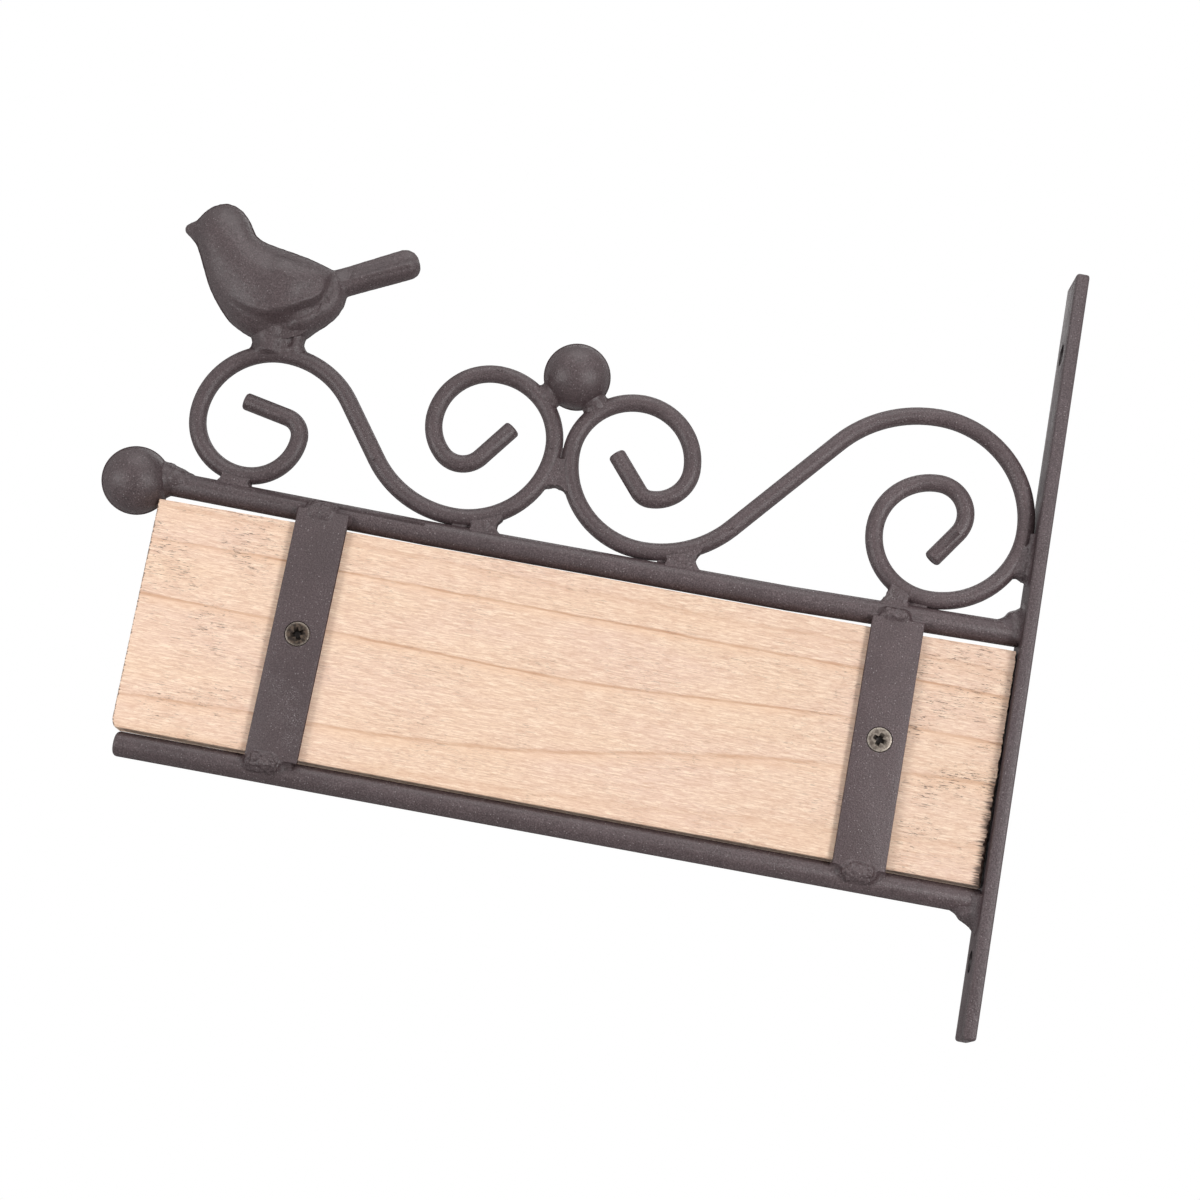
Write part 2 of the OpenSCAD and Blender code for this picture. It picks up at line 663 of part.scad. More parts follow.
wall_bar();
top_rail();
bottom_rail();
bird_scroll();
wall_scroll();
end_ball();
centre_ball();
bird();
bird_peg();
outer_strap();
inner_strap();
plank();
outer_screw();
inner_screw();
end_ball_weld();
bird_peg_weld();
bird_curl_weld();
bird_foot_weld();
wall_foot_weld();
wall_curl_weld();
scroll_joint_weld();
centre_ball_welds();
scroll_bar_weld();
top_rail_bar_weld();
bottom_rail_bar_weld();
outer_strap_top_weld();
outer_strap_foot_weld();
inner_strap_top_weld();
inner_strap_foot_weld();
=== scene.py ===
import math
from itertools import product

import bmesh
import bpy
import numpy as np
from mathutils import Matrix, Vector
from mathutils import noise as field
from mathutils.bvhtree import BVHTree


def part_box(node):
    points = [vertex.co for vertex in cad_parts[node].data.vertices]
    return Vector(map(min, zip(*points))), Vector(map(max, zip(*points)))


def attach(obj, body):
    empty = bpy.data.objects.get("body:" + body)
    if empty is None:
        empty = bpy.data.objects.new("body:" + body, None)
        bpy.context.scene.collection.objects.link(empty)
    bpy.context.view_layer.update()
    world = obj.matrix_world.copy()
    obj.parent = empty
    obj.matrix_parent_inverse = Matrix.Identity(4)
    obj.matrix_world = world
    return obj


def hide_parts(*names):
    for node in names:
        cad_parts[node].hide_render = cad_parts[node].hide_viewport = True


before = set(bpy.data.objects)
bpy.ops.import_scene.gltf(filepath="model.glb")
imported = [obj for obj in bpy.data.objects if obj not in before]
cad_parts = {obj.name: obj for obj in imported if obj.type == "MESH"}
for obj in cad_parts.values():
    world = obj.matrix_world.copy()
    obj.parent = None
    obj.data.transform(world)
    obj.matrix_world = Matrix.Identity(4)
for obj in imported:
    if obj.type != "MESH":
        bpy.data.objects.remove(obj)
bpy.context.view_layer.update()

mm = 0.001
steel, pine, brass = "powder_coat", "bare_pine", "screw_brass"
scene = bpy.context.scene
print("frame:", len(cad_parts), "nodes")


# Objects and meshes

def addObject(name, data):
    thing = bpy.data.objects.new(name, data)
    scene.collection.objects.link(thing)
    return thing


def meshFrom(bm, name):
    mesh = bpy.data.meshes.new(name)
    bm.to_mesh(mesh)
    bm.free()
    return mesh


def placed(name, mesh, look, slotName, *stands):
    piece = addObject(name, mesh)
    mesh.materials.clear()
    mesh.materials.append(look)
    for face in mesh.polygons:
        face.use_smooth = True
    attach(piece, "root")
    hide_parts(*stands)
    return piece


def nodeCopy(nodeName):
    bm = bmesh.new()
    bm.from_mesh(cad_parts[nodeName].data)
    bmesh.ops.remove_doubles(bm, verts=bm.verts, dist=2e-6)
    return bm


def cropped(bm, low, high):
    for axis in range(3):
        for corner, way in ((low, -1), (high, 1)):
            normal = Vector((0, 0, 0))
            normal[axis] = way
            geom = bm.verts[:] + bm.edges[:] + bm.faces[:]
            bmesh.ops.bisect_plane(bm, geom=geom, dist=1e-8, plane_co=corner, plane_no=normal,
                                   clear_outer=True)
            rim = [edge for edge in bm.edges if edge.is_boundary]
            bmesh.ops.holes_fill(bm, edges=rim, sides=0)
    return bm


def evaluated(mesh, *modifiers):
    holder = addObject("holder", mesh)
    for kind, settings in modifiers:
        modifier = holder.modifiers.new(kind, kind)
        for key, value in settings.items():
            setattr(modifier, key, value)
    graph = bpy.context.evaluated_depsgraph_get()
    result = bpy.data.meshes.new_from_object(holder.evaluated_get(graph))
    bpy.data.objects.remove(holder)
    return result


def cutBy(mesh, cutter, *finish, **settings):
    knife = addObject("knife", cutter)
    cut = {"object": knife, "operation": "DIFFERENCE", "solver": "EXACT", **settings}
    result = evaluated(mesh, ("BOOLEAN", cut), *finish)
    bpy.data.objects.remove(knife)
    return result


def ease(value, low, high):
    t = min(max((value - low) / (high - low), 0.0), 1.0)
    return t * t * (3 - 2 * t)


# Camera, floor and light

cameraView = {
    "place": (-0.10127, -0.69046, -0.15654),
    "turn": (102.3886, -10.4616, -0.2248),  # degrees
    "lens": 72.52,
    "sensor": 36.0,
    "clip": (0.01, 20),
}
lightPlan = {
    "world": 0.055,
    "lamps": [  # name, place, size, watts
        ("softboxRight", (0.62, -0.85, 0.0), 0.42, 8.0),
        ("softboxLeft", (-1.0, -0.7, -0.2), 0.42, 5.4),
        ("softboxTop", (-0.2, -0.6, 1.0), 1.2, 8.6),
        ("softboxBack", (-0.1, 0.9, 0.7), 0.8, 3.0),
    ],
    "aim": (-0.13, 0.0, -0.01),
}
floorPlan = {
    "middle": -0.13, "height": -0.3, "radius": 0.62,
    "rings": 24, "spokes": 96,
    "colour": (0.9, 0.9, 0.9), "roughness": 0.9, "specular": 0.1,
}

camera = addObject("camera", bpy.data.cameras.new("camera"))
camera.data.lens = cameraView["lens"]
camera.data.sensor_width = cameraView["sensor"]
camera.data.clip_start, camera.data.clip_end = cameraView["clip"]
camera.location = cameraView["place"]
camera.rotation_euler = [math.radians(a) for a in cameraView["turn"]]
scene.camera = camera
scene.view_settings.view_transform = "Standard"


def addLamp(name, place, size, watts):
    lamp = addObject(name, bpy.data.lights.new(name, "AREA"))
    lamp.data.shape, lamp.data.size, lamp.data.energy = "DISK", size, watts
    lamp.location = place
    towards = Vector(lightPlan["aim"]) - Vector(place)
    lamp.rotation_euler = towards.to_track_quat("-Z", "Y").to_euler()


for lampRow in lightPlan["lamps"]:
    addLamp(*lampRow)


# Node helpers, used by every material and tree

def addNode(tree, kind, inputs=None, **settings):
    node = tree.nodes.new(kind)
    for key, value in settings.items():
        setattr(node, key, value)
    for key, value in (inputs or {}).items():
        if isinstance(value, bpy.types.NodeSocket):
            tree.links.new(value, node.inputs[key])
        else:
            node.inputs[key].default_value = value
    return node


def calc(tree, operation, first, second=0.0, clamp=False):
    inputs = {0: first, 1: second}
    return addNode(tree, "ShaderNodeMath", inputs, operation=operation, use_clamp=clamp).outputs[0]


def times(tree, first, second):
    return calc(tree, "MULTIPLY", first, second)


def spread(tree, value, low, high, outLow=0.0, outHigh=1.0, smooth=True):
    kind = "SMOOTHSTEP" if smooth else "LINEAR"
    inputs = {"Value": value, "From Min": low, "From Max": high, "To Min": outLow, "To Max": outHigh}
    return addNode(tree, "ShaderNodeMapRange", inputs, interpolation_type=kind).outputs["Result"]


def tint(tree, factor, first, second, mode="MIX"):
    inputs = {0: factor, 6: first, 7: second}
    return addNode(tree, "ShaderNodeMix", inputs, data_type="RGBA", blend_type=mode).outputs[2]


def shaded(tree, colour, share):
    grey = addNode(tree, "ShaderNodeCombineColor", {0: share, 1: share, 2: share}).outputs[0]
    return tint(tree, 1.0, colour, grey, "MULTIPLY")


def noiseAt(tree, place, scale, detail=3.0, roughness=0.55, distortion=0.0):
    inputs = {"Vector": place, "Scale": scale, "Detail": detail,
              "Roughness": roughness, "Distortion": distortion}
    return addNode(tree, "ShaderNodeTexNoise", inputs).outputs["Fac"]


def distanceTo(tree, place, spot):
    inputs = {0: place, 1: spot}
    return addNode(tree, "ShaderNodeVectorMath", inputs, operation="DISTANCE").outputs["Value"]


def storedValue(tree, name):
    return addNode(tree, "ShaderNodeAttribute", attribute_name=name).outputs["Fac"]


def addBump(tree, shader, height, strength, depth):
    inputs = {"Height": height, "Strength": strength, "Distance": depth}
    bump = addNode(tree, "ShaderNodeBump", inputs)
    tree.links.new(bump.outputs[0], shader.inputs["Normal"])


def newMaterial(name):
    material = bpy.data.materials.new(name)
    material.use_nodes = True
    tree = material.node_tree
    tree.nodes.clear()
    shader = addNode(tree, "ShaderNodeBsdfPrincipled")
    addNode(tree, "ShaderNodeOutputMaterial", {"Surface": shader.outputs[0]})
    place = addNode(tree, "ShaderNodeTexCoord").outputs["Object"]
    return material, tree, shader, place


def rgba(colour):
    return (*colour, 1.0)


# Stage

def makeWorld(name):
    world = bpy.data.worlds.new(name)
    world.use_nodes = True
    tree = world.node_tree
    tree.nodes.clear()
    rays = addNode(tree, "ShaderNodeLightPath").outputs
    seen = calc(tree, "MAXIMUM", rays["Is Camera Ray"], rays["Is Glossy Ray"])
    seen = calc(tree, "MAXIMUM", seen, rays["Is Transmission Ray"])
    glow = spread(tree, seen, 0.0, 1.0, lightPlan["world"], 1.0, smooth=False)
    back = addNode(tree, "ShaderNodeBackground", {"Color": (1, 1, 1, 1), "Strength": glow})
    addNode(tree, "ShaderNodeOutputWorld", {"Surface": back.outputs[0]})
    return world


def makeFloor(plan):
    bm = bmesh.new()
    rows = []
    count = plan["spokes"]
    for ring in range(1, plan["rings"] + 1):
        reach = plan["radius"] * ring / plan["rings"]
        row = []
        for spoke in range(count):
            turn = math.tau * spoke / count
            x = plan["middle"] + reach * math.cos(turn)
            row.append(bm.verts.new((x, reach * math.sin(turn), plan["height"])))
        rows.append(row)
    middle = bm.verts.new((plan["middle"], 0, plan["height"]))
    for spoke in range(count):
        after = (spoke + 1) % count
        bm.faces.new((middle, rows[0][spoke], rows[0][after]))
        for inner, outer in zip(rows, rows[1:]):
            bm.faces.new((inner[spoke], outer[spoke], outer[after], inner[after]))
    floor = addObject("floor", meshFrom(bm, "floor"))
    material, tree, shader, place = newMaterial("paleFloor")
    shader.inputs["Base Color"].default_value = rgba(plan["colour"])
    shader.inputs["Roughness"].default_value = plan["roughness"]
    shader.inputs["Specular IOR Level"].default_value = plan["specular"]
    floor.data.materials.append(material)


scene.world = makeWorld("studio")
makeFloor(floorPlan)
print("stage: camera, lamps, floor")


# Powder coat: a fine sandy grain with pale specks (partly painted glints), worn spots (at the welds partly
# painted highlight), painted light along x and painted shade inside the bar's holes

coatLook = {
    "colour": (0.081, 0.0565, 0.0595),
    "dark": (0.045, 0.0305, 0.032),
    "pale": (0.138, 0.106, 0.11),
    "speckAndGlint": (0.44, 0.39, 0.39),
    "mottleScale": 95.0,
    "grainScale": 2300.0,
    "speckScale": 1350.0,
    "pitScale": 620.0,
    "grainDark": (0.38, 0.52), "grainPale": (0.53, 0.68),  # where the grain leaves dark and reaches pale
    "dullFrom": (0.35, 0.62), "dullShare": 0.28,
    "speckSize": (0.12, 0.3), "speckPick": (0.66, 0.95), "speckShare": 0.45,
    "roughness": (0.31, 0.42),
    "bumpStrength": 0.8,
    "bumpDepth": 0.00018,
    "specular": (0.36, 0.0), "glance": (0.25, 0.8),  # gloss seen straight on and at a glance
    "paintedLightSpan": (-0.22, -0.04),  # painted light: the coat is painted paler between these x, brighter towards the wall
    "paintedLightEnds": (0.91, 1.08),  # painted light: how pale the coat is painted at the outer end and at the wall
    "boreShadeSpots": [],  # holes drilled along X, painted dark inside as painted shade: y, z and radius in mm
    "boreShadeColour": (0.012, 0.009, 0.01),
    "boreShadeShare": 0.85,
    "scuffAndSheenColour": (0.46, 0.41, 0.42),
    "scuffAndSheenScale": 2700.0, "scratch": (0.54, 0.66), "scuffAndSheenShare": 0.9,
    "scuffsAndSheen": [  # pale spots, worn coat and at the welds partly painted highlight: place in mm, radius in mm, strength
        # outer strap, from its middle down to its foot
        (-216.1, -5.65, -47.5, 1.6, 1.0), (-212.8, -5.65, -50.2, 4.2, 0.7),
        (-208.8, -5.65, -53.0, 5.0, 0.75), (-206.0, -5.65, -58.5, 5.0, 0.75),
        (-205.8, -5.65, -65.0, 4.6, 0.65), (-209.4, -5.65, -58.6, 5.5, 0.4),
        (-203.4, -5.6, -72.7, 0.7, 1.0), (-207.3, -5.0, -76.5, 2.0, 0.8),
        (-212.3, -5.0, -73.0, 1.3, 0.6), (-193.3, -3.0, -76.8, 4.5, 0.35),
        (-179.4, -3.0, -77.5, 4.5, 0.3), (-214.6, -6.2, -73.5, 2.2, 0.4),
        # bird and balls
        (-254.2, -8, 80.6, 3.0, 0.55), (-259.6, -6, 73.2, 1.4, 0.7), (-255.5, -9, 70.6, 1.2, 0.7),
        (-203.0, -3.5, 83.4, 1.5, 0.7), (-268.7, -8.0, -2.9, 1.1, 0.8), (-266.6, -5.3, -5.4, 0.9, 0.8),
        (-146.9, -8.0, 56.0, 1.6, 0.3),
        # welds of the scrolls and of the straps: pale mottling, partly thin worn coat and partly painted
        # highlight on the lumps
        (-146.8, -2.2, 26.0, 2.6, 0.3), (-150.2, -2.4, 22.6, 1.4, 0.3), (-143.3, -2.3, 23.6, 1.0, 0.3),
        (-161.5, -2.4, 8.5, 2.6, 0.25), (-103.0, -2.4, 9.6, 2.6, 0.4), (-101.8, -3.0, 5.5, 1.5, 0.3),
        (-239.0, -3.0, 5.5, 2.6, 0.25), (-236.0, -2.4, 9.3, 1.8, 0.25), (-211.8, -6.3, 1.2, 4.2, 0.35),
        (-207.5, -6.0, 0.5, 1.5, 0.3), (-37.8, -6.0, 2.4, 2.2, 0.3), (-44.3, -5.8, 2.0, 0.9, 0.6),
        (-39.8, -6.5, -73.4, 3.2, 0.4),
    ],
}
barLook = {  # the wall bar and the welds on it, with painted shade inside its holes
    **coatLook,
    "colour": (0.083, 0.06, 0.064),
    "dark": (0.047, 0.032, 0.034),
    "specular": (0.36, 0.006),
    "paintedLightEnds": (1.0, 1.0),
    "boreShadeSpots": [(0, -91.5, 3.3), (0, 91.5, 3.3)],
    "scuffsAndSheen": [],
}


def scuffAndSheenMask(tree, place, look):
    wornAndSheen = 0.0
    if not look["scuffsAndSheen"]:
        return wornAndSheen
    for x, y, z, radius, strength in look["scuffsAndSheen"]:
        away = distanceTo(tree, place, (x * mm, y * mm, z * mm))
        spot = spread(tree, away, 0.1 * radius * mm, radius * mm, strength, 0.0)
        wornAndSheen = calc(tree, "MAXIMUM", wornAndSheen, spot)
    scratch = noiseAt(tree, place, look["scuffAndSheenScale"], 4.0, 0.8, 0.8)
    return times(tree, wornAndSheen, spread(tree, scratch, *look["scratch"], 0.0, look["scuffAndSheenShare"]))


def makeCoat(name, look):
    material, tree, shader, place = newMaterial(name)
    mottle = noiseAt(tree, place, look["mottleScale"], 4.0, 0.6)
    grain = noiseAt(tree, place, look["grainScale"], 3.0, 0.7)
    colour = tint(tree, spread(tree, grain, *look["grainDark"]), rgba(look["dark"]), rgba(look["colour"]))
    colour = tint(tree, spread(tree, grain, *look["grainPale"]), colour, rgba(look["pale"]))
    dull = times(tree, spread(tree, mottle, *look["dullFrom"], 1.0, 0.0), look["dullShare"])
    colour = tint(tree, dull, colour, rgba(look["dark"]))
    # small round pale specks in some of the cells: partly the coat's own speckle, partly painted glints
    cells = addNode(tree, "ShaderNodeTexVoronoi", {"Vector": place, "Scale": look["speckScale"]})
    pick = addNode(tree, "ShaderNodeSeparateColor", {"Color": cells.outputs["Color"]}).outputs[0]
    specksAndGlints = spread(tree, cells.outputs["Distance"], *look["speckSize"], 1.0, 0.0)
    specksAndGlints = times(tree, specksAndGlints, spread(tree, pick, *look["speckPick"]))
    colour = tint(tree, times(tree, specksAndGlints, look["speckShare"]), colour, rgba(look["speckAndGlint"]))
    # painted light: the colour is scaled along x, paler towards the wall
    alongX = addNode(tree, "ShaderNodeSeparateXYZ", {0: place}).outputs[0]
    share = spread(tree, alongX, *look["paintedLightSpan"], *look["paintedLightEnds"], smooth=False)
    colour = shaded(tree, colour, share)
    # painted shade inside the drilled holes
    for y, z, radius in look["boreShadeSpots"]:
        inputs = {0: place, 1: (0, 1, 1)}
        flat = addNode(tree, "ShaderNodeVectorMath", inputs, operation="MULTIPLY").outputs["Vector"]
        inBoreShade = calc(tree, "LESS_THAN", distanceTo(tree, flat, (0, y * mm, z * mm)), radius * mm)
        colour = tint(tree, times(tree, inBoreShade, look["boreShadeShare"]), colour, rgba(look["boreShadeColour"]))
    # pale worn spots, at the welds partly painted highlight
    wornAndSheen = scuffAndSheenMask(tree, place, look)
    colour = tint(tree, wornAndSheen, colour, rgba(look["scuffAndSheenColour"]))
    tree.links.new(colour, shader.inputs["Base Color"])
    tree.links.new(spread(tree, mottle, 0.25, 0.75, *look["roughness"]), shader.inputs["Roughness"])
    relief = calc(tree, "ADD", times(tree, grain, 0.8), times(tree, specksAndGlints, 0.5))
    relief = calc(tree, "ADD", relief, times(tree, wornAndSheen, 0.6))
    relief = calc(tree, "ADD", relief, noiseAt(tree, place, look["pitScale"], 4.0, 0.65))
    addBump(tree, shader, relief, look["bumpStrength"], look["bumpDepth"])
    glance = addNode(tree, "ShaderNodeLayerWeight", {"Blend": 0.5}).outputs["Facing"]
    level = spread(tree, glance, *look["glance"], *look["specular"])
    tree.links.new(level, shader.inputs["Specular IOR Level"])
    return material


coat = makeCoat("powderCoat", coatLook)
barCoat = makeCoat("powderCoatBar", barLook)


# Bare pine: tones, growth lines and the board itself

pineTones = {
    "colour": (0.80, 0.588, 0.436),
    "pale": (0.90, 0.708, 0.552),
    "deep": (0.66, 0.44, 0.325),
    "line": (0.50, 0.275, 0.165),
    "warm": (0.80, 0.54, 0.37),
    "tick": (0.20, 0.145, 0.12),
    # darkest tone of the painted shade at the ends, partly the end grain's own colour
    "end": (0.085, 0.056, 0.042),
    "rosy": (0.77, 0.56, 0.45),
    "streaks": [  # pattern, where its streaks begin and are full, strength, tone
        ("cloud", 0.30, 0.72, 1.0, "rosy"),
        ("fibre", 0.49, 0.38, 0.95, "pale"),
        ("fibre", 0.51, 0.63, 0.8, "deep"),
        ("fine", 0.51, 0.61, 0.75, "deep"),
    ],
    # painted light: the board is painted paler at the outer end and darker towards the wall
    "paintedLightEnds": (1.045, 0.945), "paintedLightSpan": (-0.25, -0.02),
    "tickEnds": {"outer": (-0.255, -0.19, 0.75, 0.0), "wall": (-0.07, -0.006, 0.0, 1.0)},
    "tickFrom": (0.565, 0.66), "tickPatches": (0.36, 0.66), "tickBase": 0.4,
    "roughness": 0.72, "specular": 0.15,
    "bumpStrength": 0.55, "bumpDepth": 0.12 * mm,
}
pineGrain = {  # fineness along x, y and z per metre; then the noise's detail, roughness and distortion
    "flow": ((9, 60, 42), 3.0, 0.55),
    "fibre": ((200, 900, 2500), 5.0, 0.66, 0.45),
    "fine": ((600, 2400, 4600), 3.0, 0.7, 0.3),
    "cloud": ((16, 40, 62), 4.0, 0.6),
    "broken": ((55, 400, 900), 3.0, 0.6),
    "ragged": ((120, 60, 800), 3.0, 0.6),
    "presence": ((22, 1, 1), 2.0, 0.6),
    "ticks": ((380, 900, 3200), 3.0, 0.65, 0.9),
    "patches": ((60, 90, 95), 3.0, 0.6),
    "combed": ((120, 700, 2300), 3.0, 0.65),
}
# heights in mm below the top rail's axis, at even steps of length from the outer end to the wall
growthLines = [
    {"heights": [13.9, 13.2, 13.4, 13.6, 14.0, 14.3, 14.5, 14.8, 15.3], "width": 0.55, "strength": 0.85},
    {"heights": [30.3, 31.2, 32.1, 32.6, 32.7, 31.6, 29.9, 28.7, 28.9], "width": 0.6, "strength": 0.75},
    {"heights": [60.2, 59.3, 59.0, 57.6, 54.0, 49.0, 44.9, 42.4, 40.8], "width": 0.85, "strength": 0.6},
    {"heights": [3.4, 3.8, 4.6, 5.4, 6.3, 6.9, 7.2, 7.6, 8.2], "width": 1.1, "strength": 0.3},
    {"heights": [69.6, 69.0, 68.2, 68.4, 67.2, 65.2, 63.0, 60.8, 58.2], "width": 1.4, "strength": 0.22},
]
growthSpan = {"outerEnd": -0.262, "drop": 72}  # x of the first height in m; the curves' full range in mm
boardSize = {
    "topEnd": -258.6, "lowEnd": -257.5, "wallEnd": -4.27,
    "near": -3.6, "far": 5.35,
    "outer": -258, "long": 253,  # where the two edges below are read
    "topEdge": ([-258, -213, -180, -155, -100, -40, -10], [-1.75, -1.4, -1.45, -1.4, -1.5, -1.6, -1.05]),
    "lowEdge": ([-258, -160, -60, -5], [-70.2, -70.45, -70.45, -70.3]),
    "columns": 196, "endColumns": 26, "endSteps": 6, "endPower": 1.4, "rows": 150,
    "depths": [0.0, 0.12, 0.4, 0.9, 1.7, 3.2, 5.4, 7.6, 8.6, 8.95],
    "corner": 0.32, "grainDepth": 0.05, "sawMarks": 0.10, "edgeMarks": 0.06,
    "nick": 0.9, "nickFrom": 0.96,  # the lower outer corner is knocked off a little
    "tearFrom": 0.945, "tearTop": 0.35, "tearLow": 1.5, "tearJag": 1.0, "tearDepth": 1.25,
    # painted shade on the front near both ends and along the top edge, and on the end faces
    "frontFade": (2.6, 4.4), "rimWide": 0.9, "rimShade": 0.62, "topShade": 0.42,
    "endShades": (0.32, 1.0),  # outer end, wall end
    "seed": 7,
}


def growthMask(tree, axisX, height, wobble, line):
    curveNode = tree.nodes.new("ShaderNodeFloatCurve")
    points = curveNode.mapping.curves[0].points
    values = [h / growthSpan["drop"] for h in line["heights"]]
    for i, value in enumerate(values):
        if i < 2:
            points[i].location = (i / (len(values) - 1), value)
        else:
            points.new(i / (len(values) - 1), value)
    curveNode.mapping.update()
    along = spread(tree, axisX, growthSpan["outerEnd"], 0.0, smooth=False)
    tree.links.new(along, curveNode.inputs["Value"])
    drop = times(tree, curveNode.outputs[0], growthSpan["drop"] * mm)
    away = calc(tree, "ADD", calc(tree, "SUBTRACT", height, drop), wobble)
    half = line["width"] * mm
    core = spread(tree, calc(tree, "ABSOLUTE", away), 0.15 * half, 1.15 * half, 1.0, 0.0)
    halo = times(tree, spread(tree, away, -0.8 * half, 0.3 * half),
                 spread(tree, away, 1.2 * half, 5.5 * half, 1.0, 0.0))
    return times(tree, core, line["strength"]), times(tree, halo, line["strength"] * 0.6)


def makePine(tones):
    material, tree, shader, place = newMaterial("barePine")

    def grain(name, shift=(0, 0, 0)):
        scale, *shape = pineGrain[name]
        inputs = {"Vector": place, "Scale": scale, "Location": shift}
        return noiseAt(tree, addNode(tree, "ShaderNodeMapping", inputs).outputs[0], 1.0, *shape)

    def centred(value, width):
        return times(tree, calc(tree, "SUBTRACT", value, 0.5), width)

    parts = addNode(tree, "ShaderNodeSeparateXYZ", {0: place})
    alongX, height = parts.outputs[0], times(tree, parts.outputs[2], -1.0)
    patterns = {name: grain(name) for name in ("cloud", "fibre", "fine")}
    colour = rgba(tones["colour"])
    for name, low, high, strength, tone in tones["streaks"]:
        streak = spread(tree, patterns[name], low, high, 0.0, strength)
        colour = tint(tree, streak, colour, rgba(tones[tone]))
    # growth lines, wavy, broken and here and there nearly gone
    broken = spread(tree, grain("broken"), 0.28, 0.6)
    broken = calc(tree, "ADD", times(tree, broken, 0.6), 0.4)
    wobble = calc(tree, "ADD", centred(grain("flow"), 2.2 * mm), centred(grain("ragged"), 0.9 * mm))
    for turn, line in enumerate(growthLines):
        core, halo = growthMask(tree, alongX, height, wobble, line)
        presence = spread(tree, grain("presence", (turn * 3.7, 0, turn)), 0.34, 0.6, 0.45, 1.0)
        core, halo = times(tree, core, presence), times(tree, halo, presence)
        colour = tint(tree, halo, colour, rgba(tones["warm"]))
        colour = tint(tree, times(tree, core, broken), colour, rgba(tones["line"]))
    # short dark fibre ticks, thicker in patches and towards both ends
    ticks = spread(tree, grain("ticks", (3, 1, 2)), *tones["tickFrom"])
    patches = spread(tree, grain("patches", (1, 0, 4)), *tones["tickPatches"])
    nearEnds = calc(tree, "MAXIMUM", *(spread(tree, alongX, *end) for end in tones["tickEnds"].values()))
    amount = times(tree, patches, calc(tree, "ADD", nearEnds, tones["tickBase"]))
    tickMask = calc(tree, "MULTIPLY", ticks, amount, clamp=True)
    colour = tint(tree, tickMask, colour, rgba(tones["tick"]))
    # painted light along x: paler at the outer end, darker towards the wall
    share = spread(tree, alongX, *tones["paintedLightSpan"], *tones["paintedLightEnds"], smooth=False)
    colour = shaded(tree, colour, share)
    # end grain and torn edge: painted shade, partly the end grain's own darker colour
    shade = storedValue(tree, "endShade")
    combed = grain("combed", (0, 5, 0))
    edgeMask = spread(tree, calc(tree, "ADD", shade, centred(combed, 1.5)), 0.36, 0.66)
    edgeMask = times(tree, edgeMask, spread(tree, shade, 0.02, 0.2))
    endShadeTone = tint(tree, spread(tree, combed, 0.35, 0.7), rgba(tones["end"]), rgba(tones["tick"]))
    colour = tint(tree, edgeMask, colour, endShadeTone)
    tree.links.new(colour, shader.inputs["Base Color"])
    shader.inputs["Roughness"].default_value = tones["roughness"]
    shader.inputs["Specular IOR Level"].default_value = tones["specular"]
    relief = calc(tree, "SUBTRACT", times(tree, patterns["fibre"], -1.0), times(tree, tickMask, 1.2))
    relief = calc(tree, "SUBTRACT", relief, times(tree, patterns["fine"], 0.6))
    addBump(tree, shader, relief, tones["bumpStrength"], tones["bumpDepth"])
    return material


pineLook = makePine(pineTones)


def cornerInset(distance, radius):
    if distance >= radius:
        return 0.0
    return radius - math.sqrt(max(radius ** 2 - (radius - distance) ** 2, 0.0))


def lowShare(share):
    # 0 at the board's top edge, 1 at its lower edge, with an even change between
    return 1 / (1 + math.exp(-(share - 0.6) * 10))


def boardStations(size):
    # shares of the length, closer together at both ends
    even = np.linspace(0, 1, size["columns"])
    wide = size["endSteps"] * even[1]
    close = wide * np.linspace(0, 1, size["endColumns"]) ** size["endPower"]
    stations = [*close, *(s for s in even if wide < s < 1 - wide), *(1 - close[:-1])]
    return sorted(set(round(float(s), 6) for s in stations))


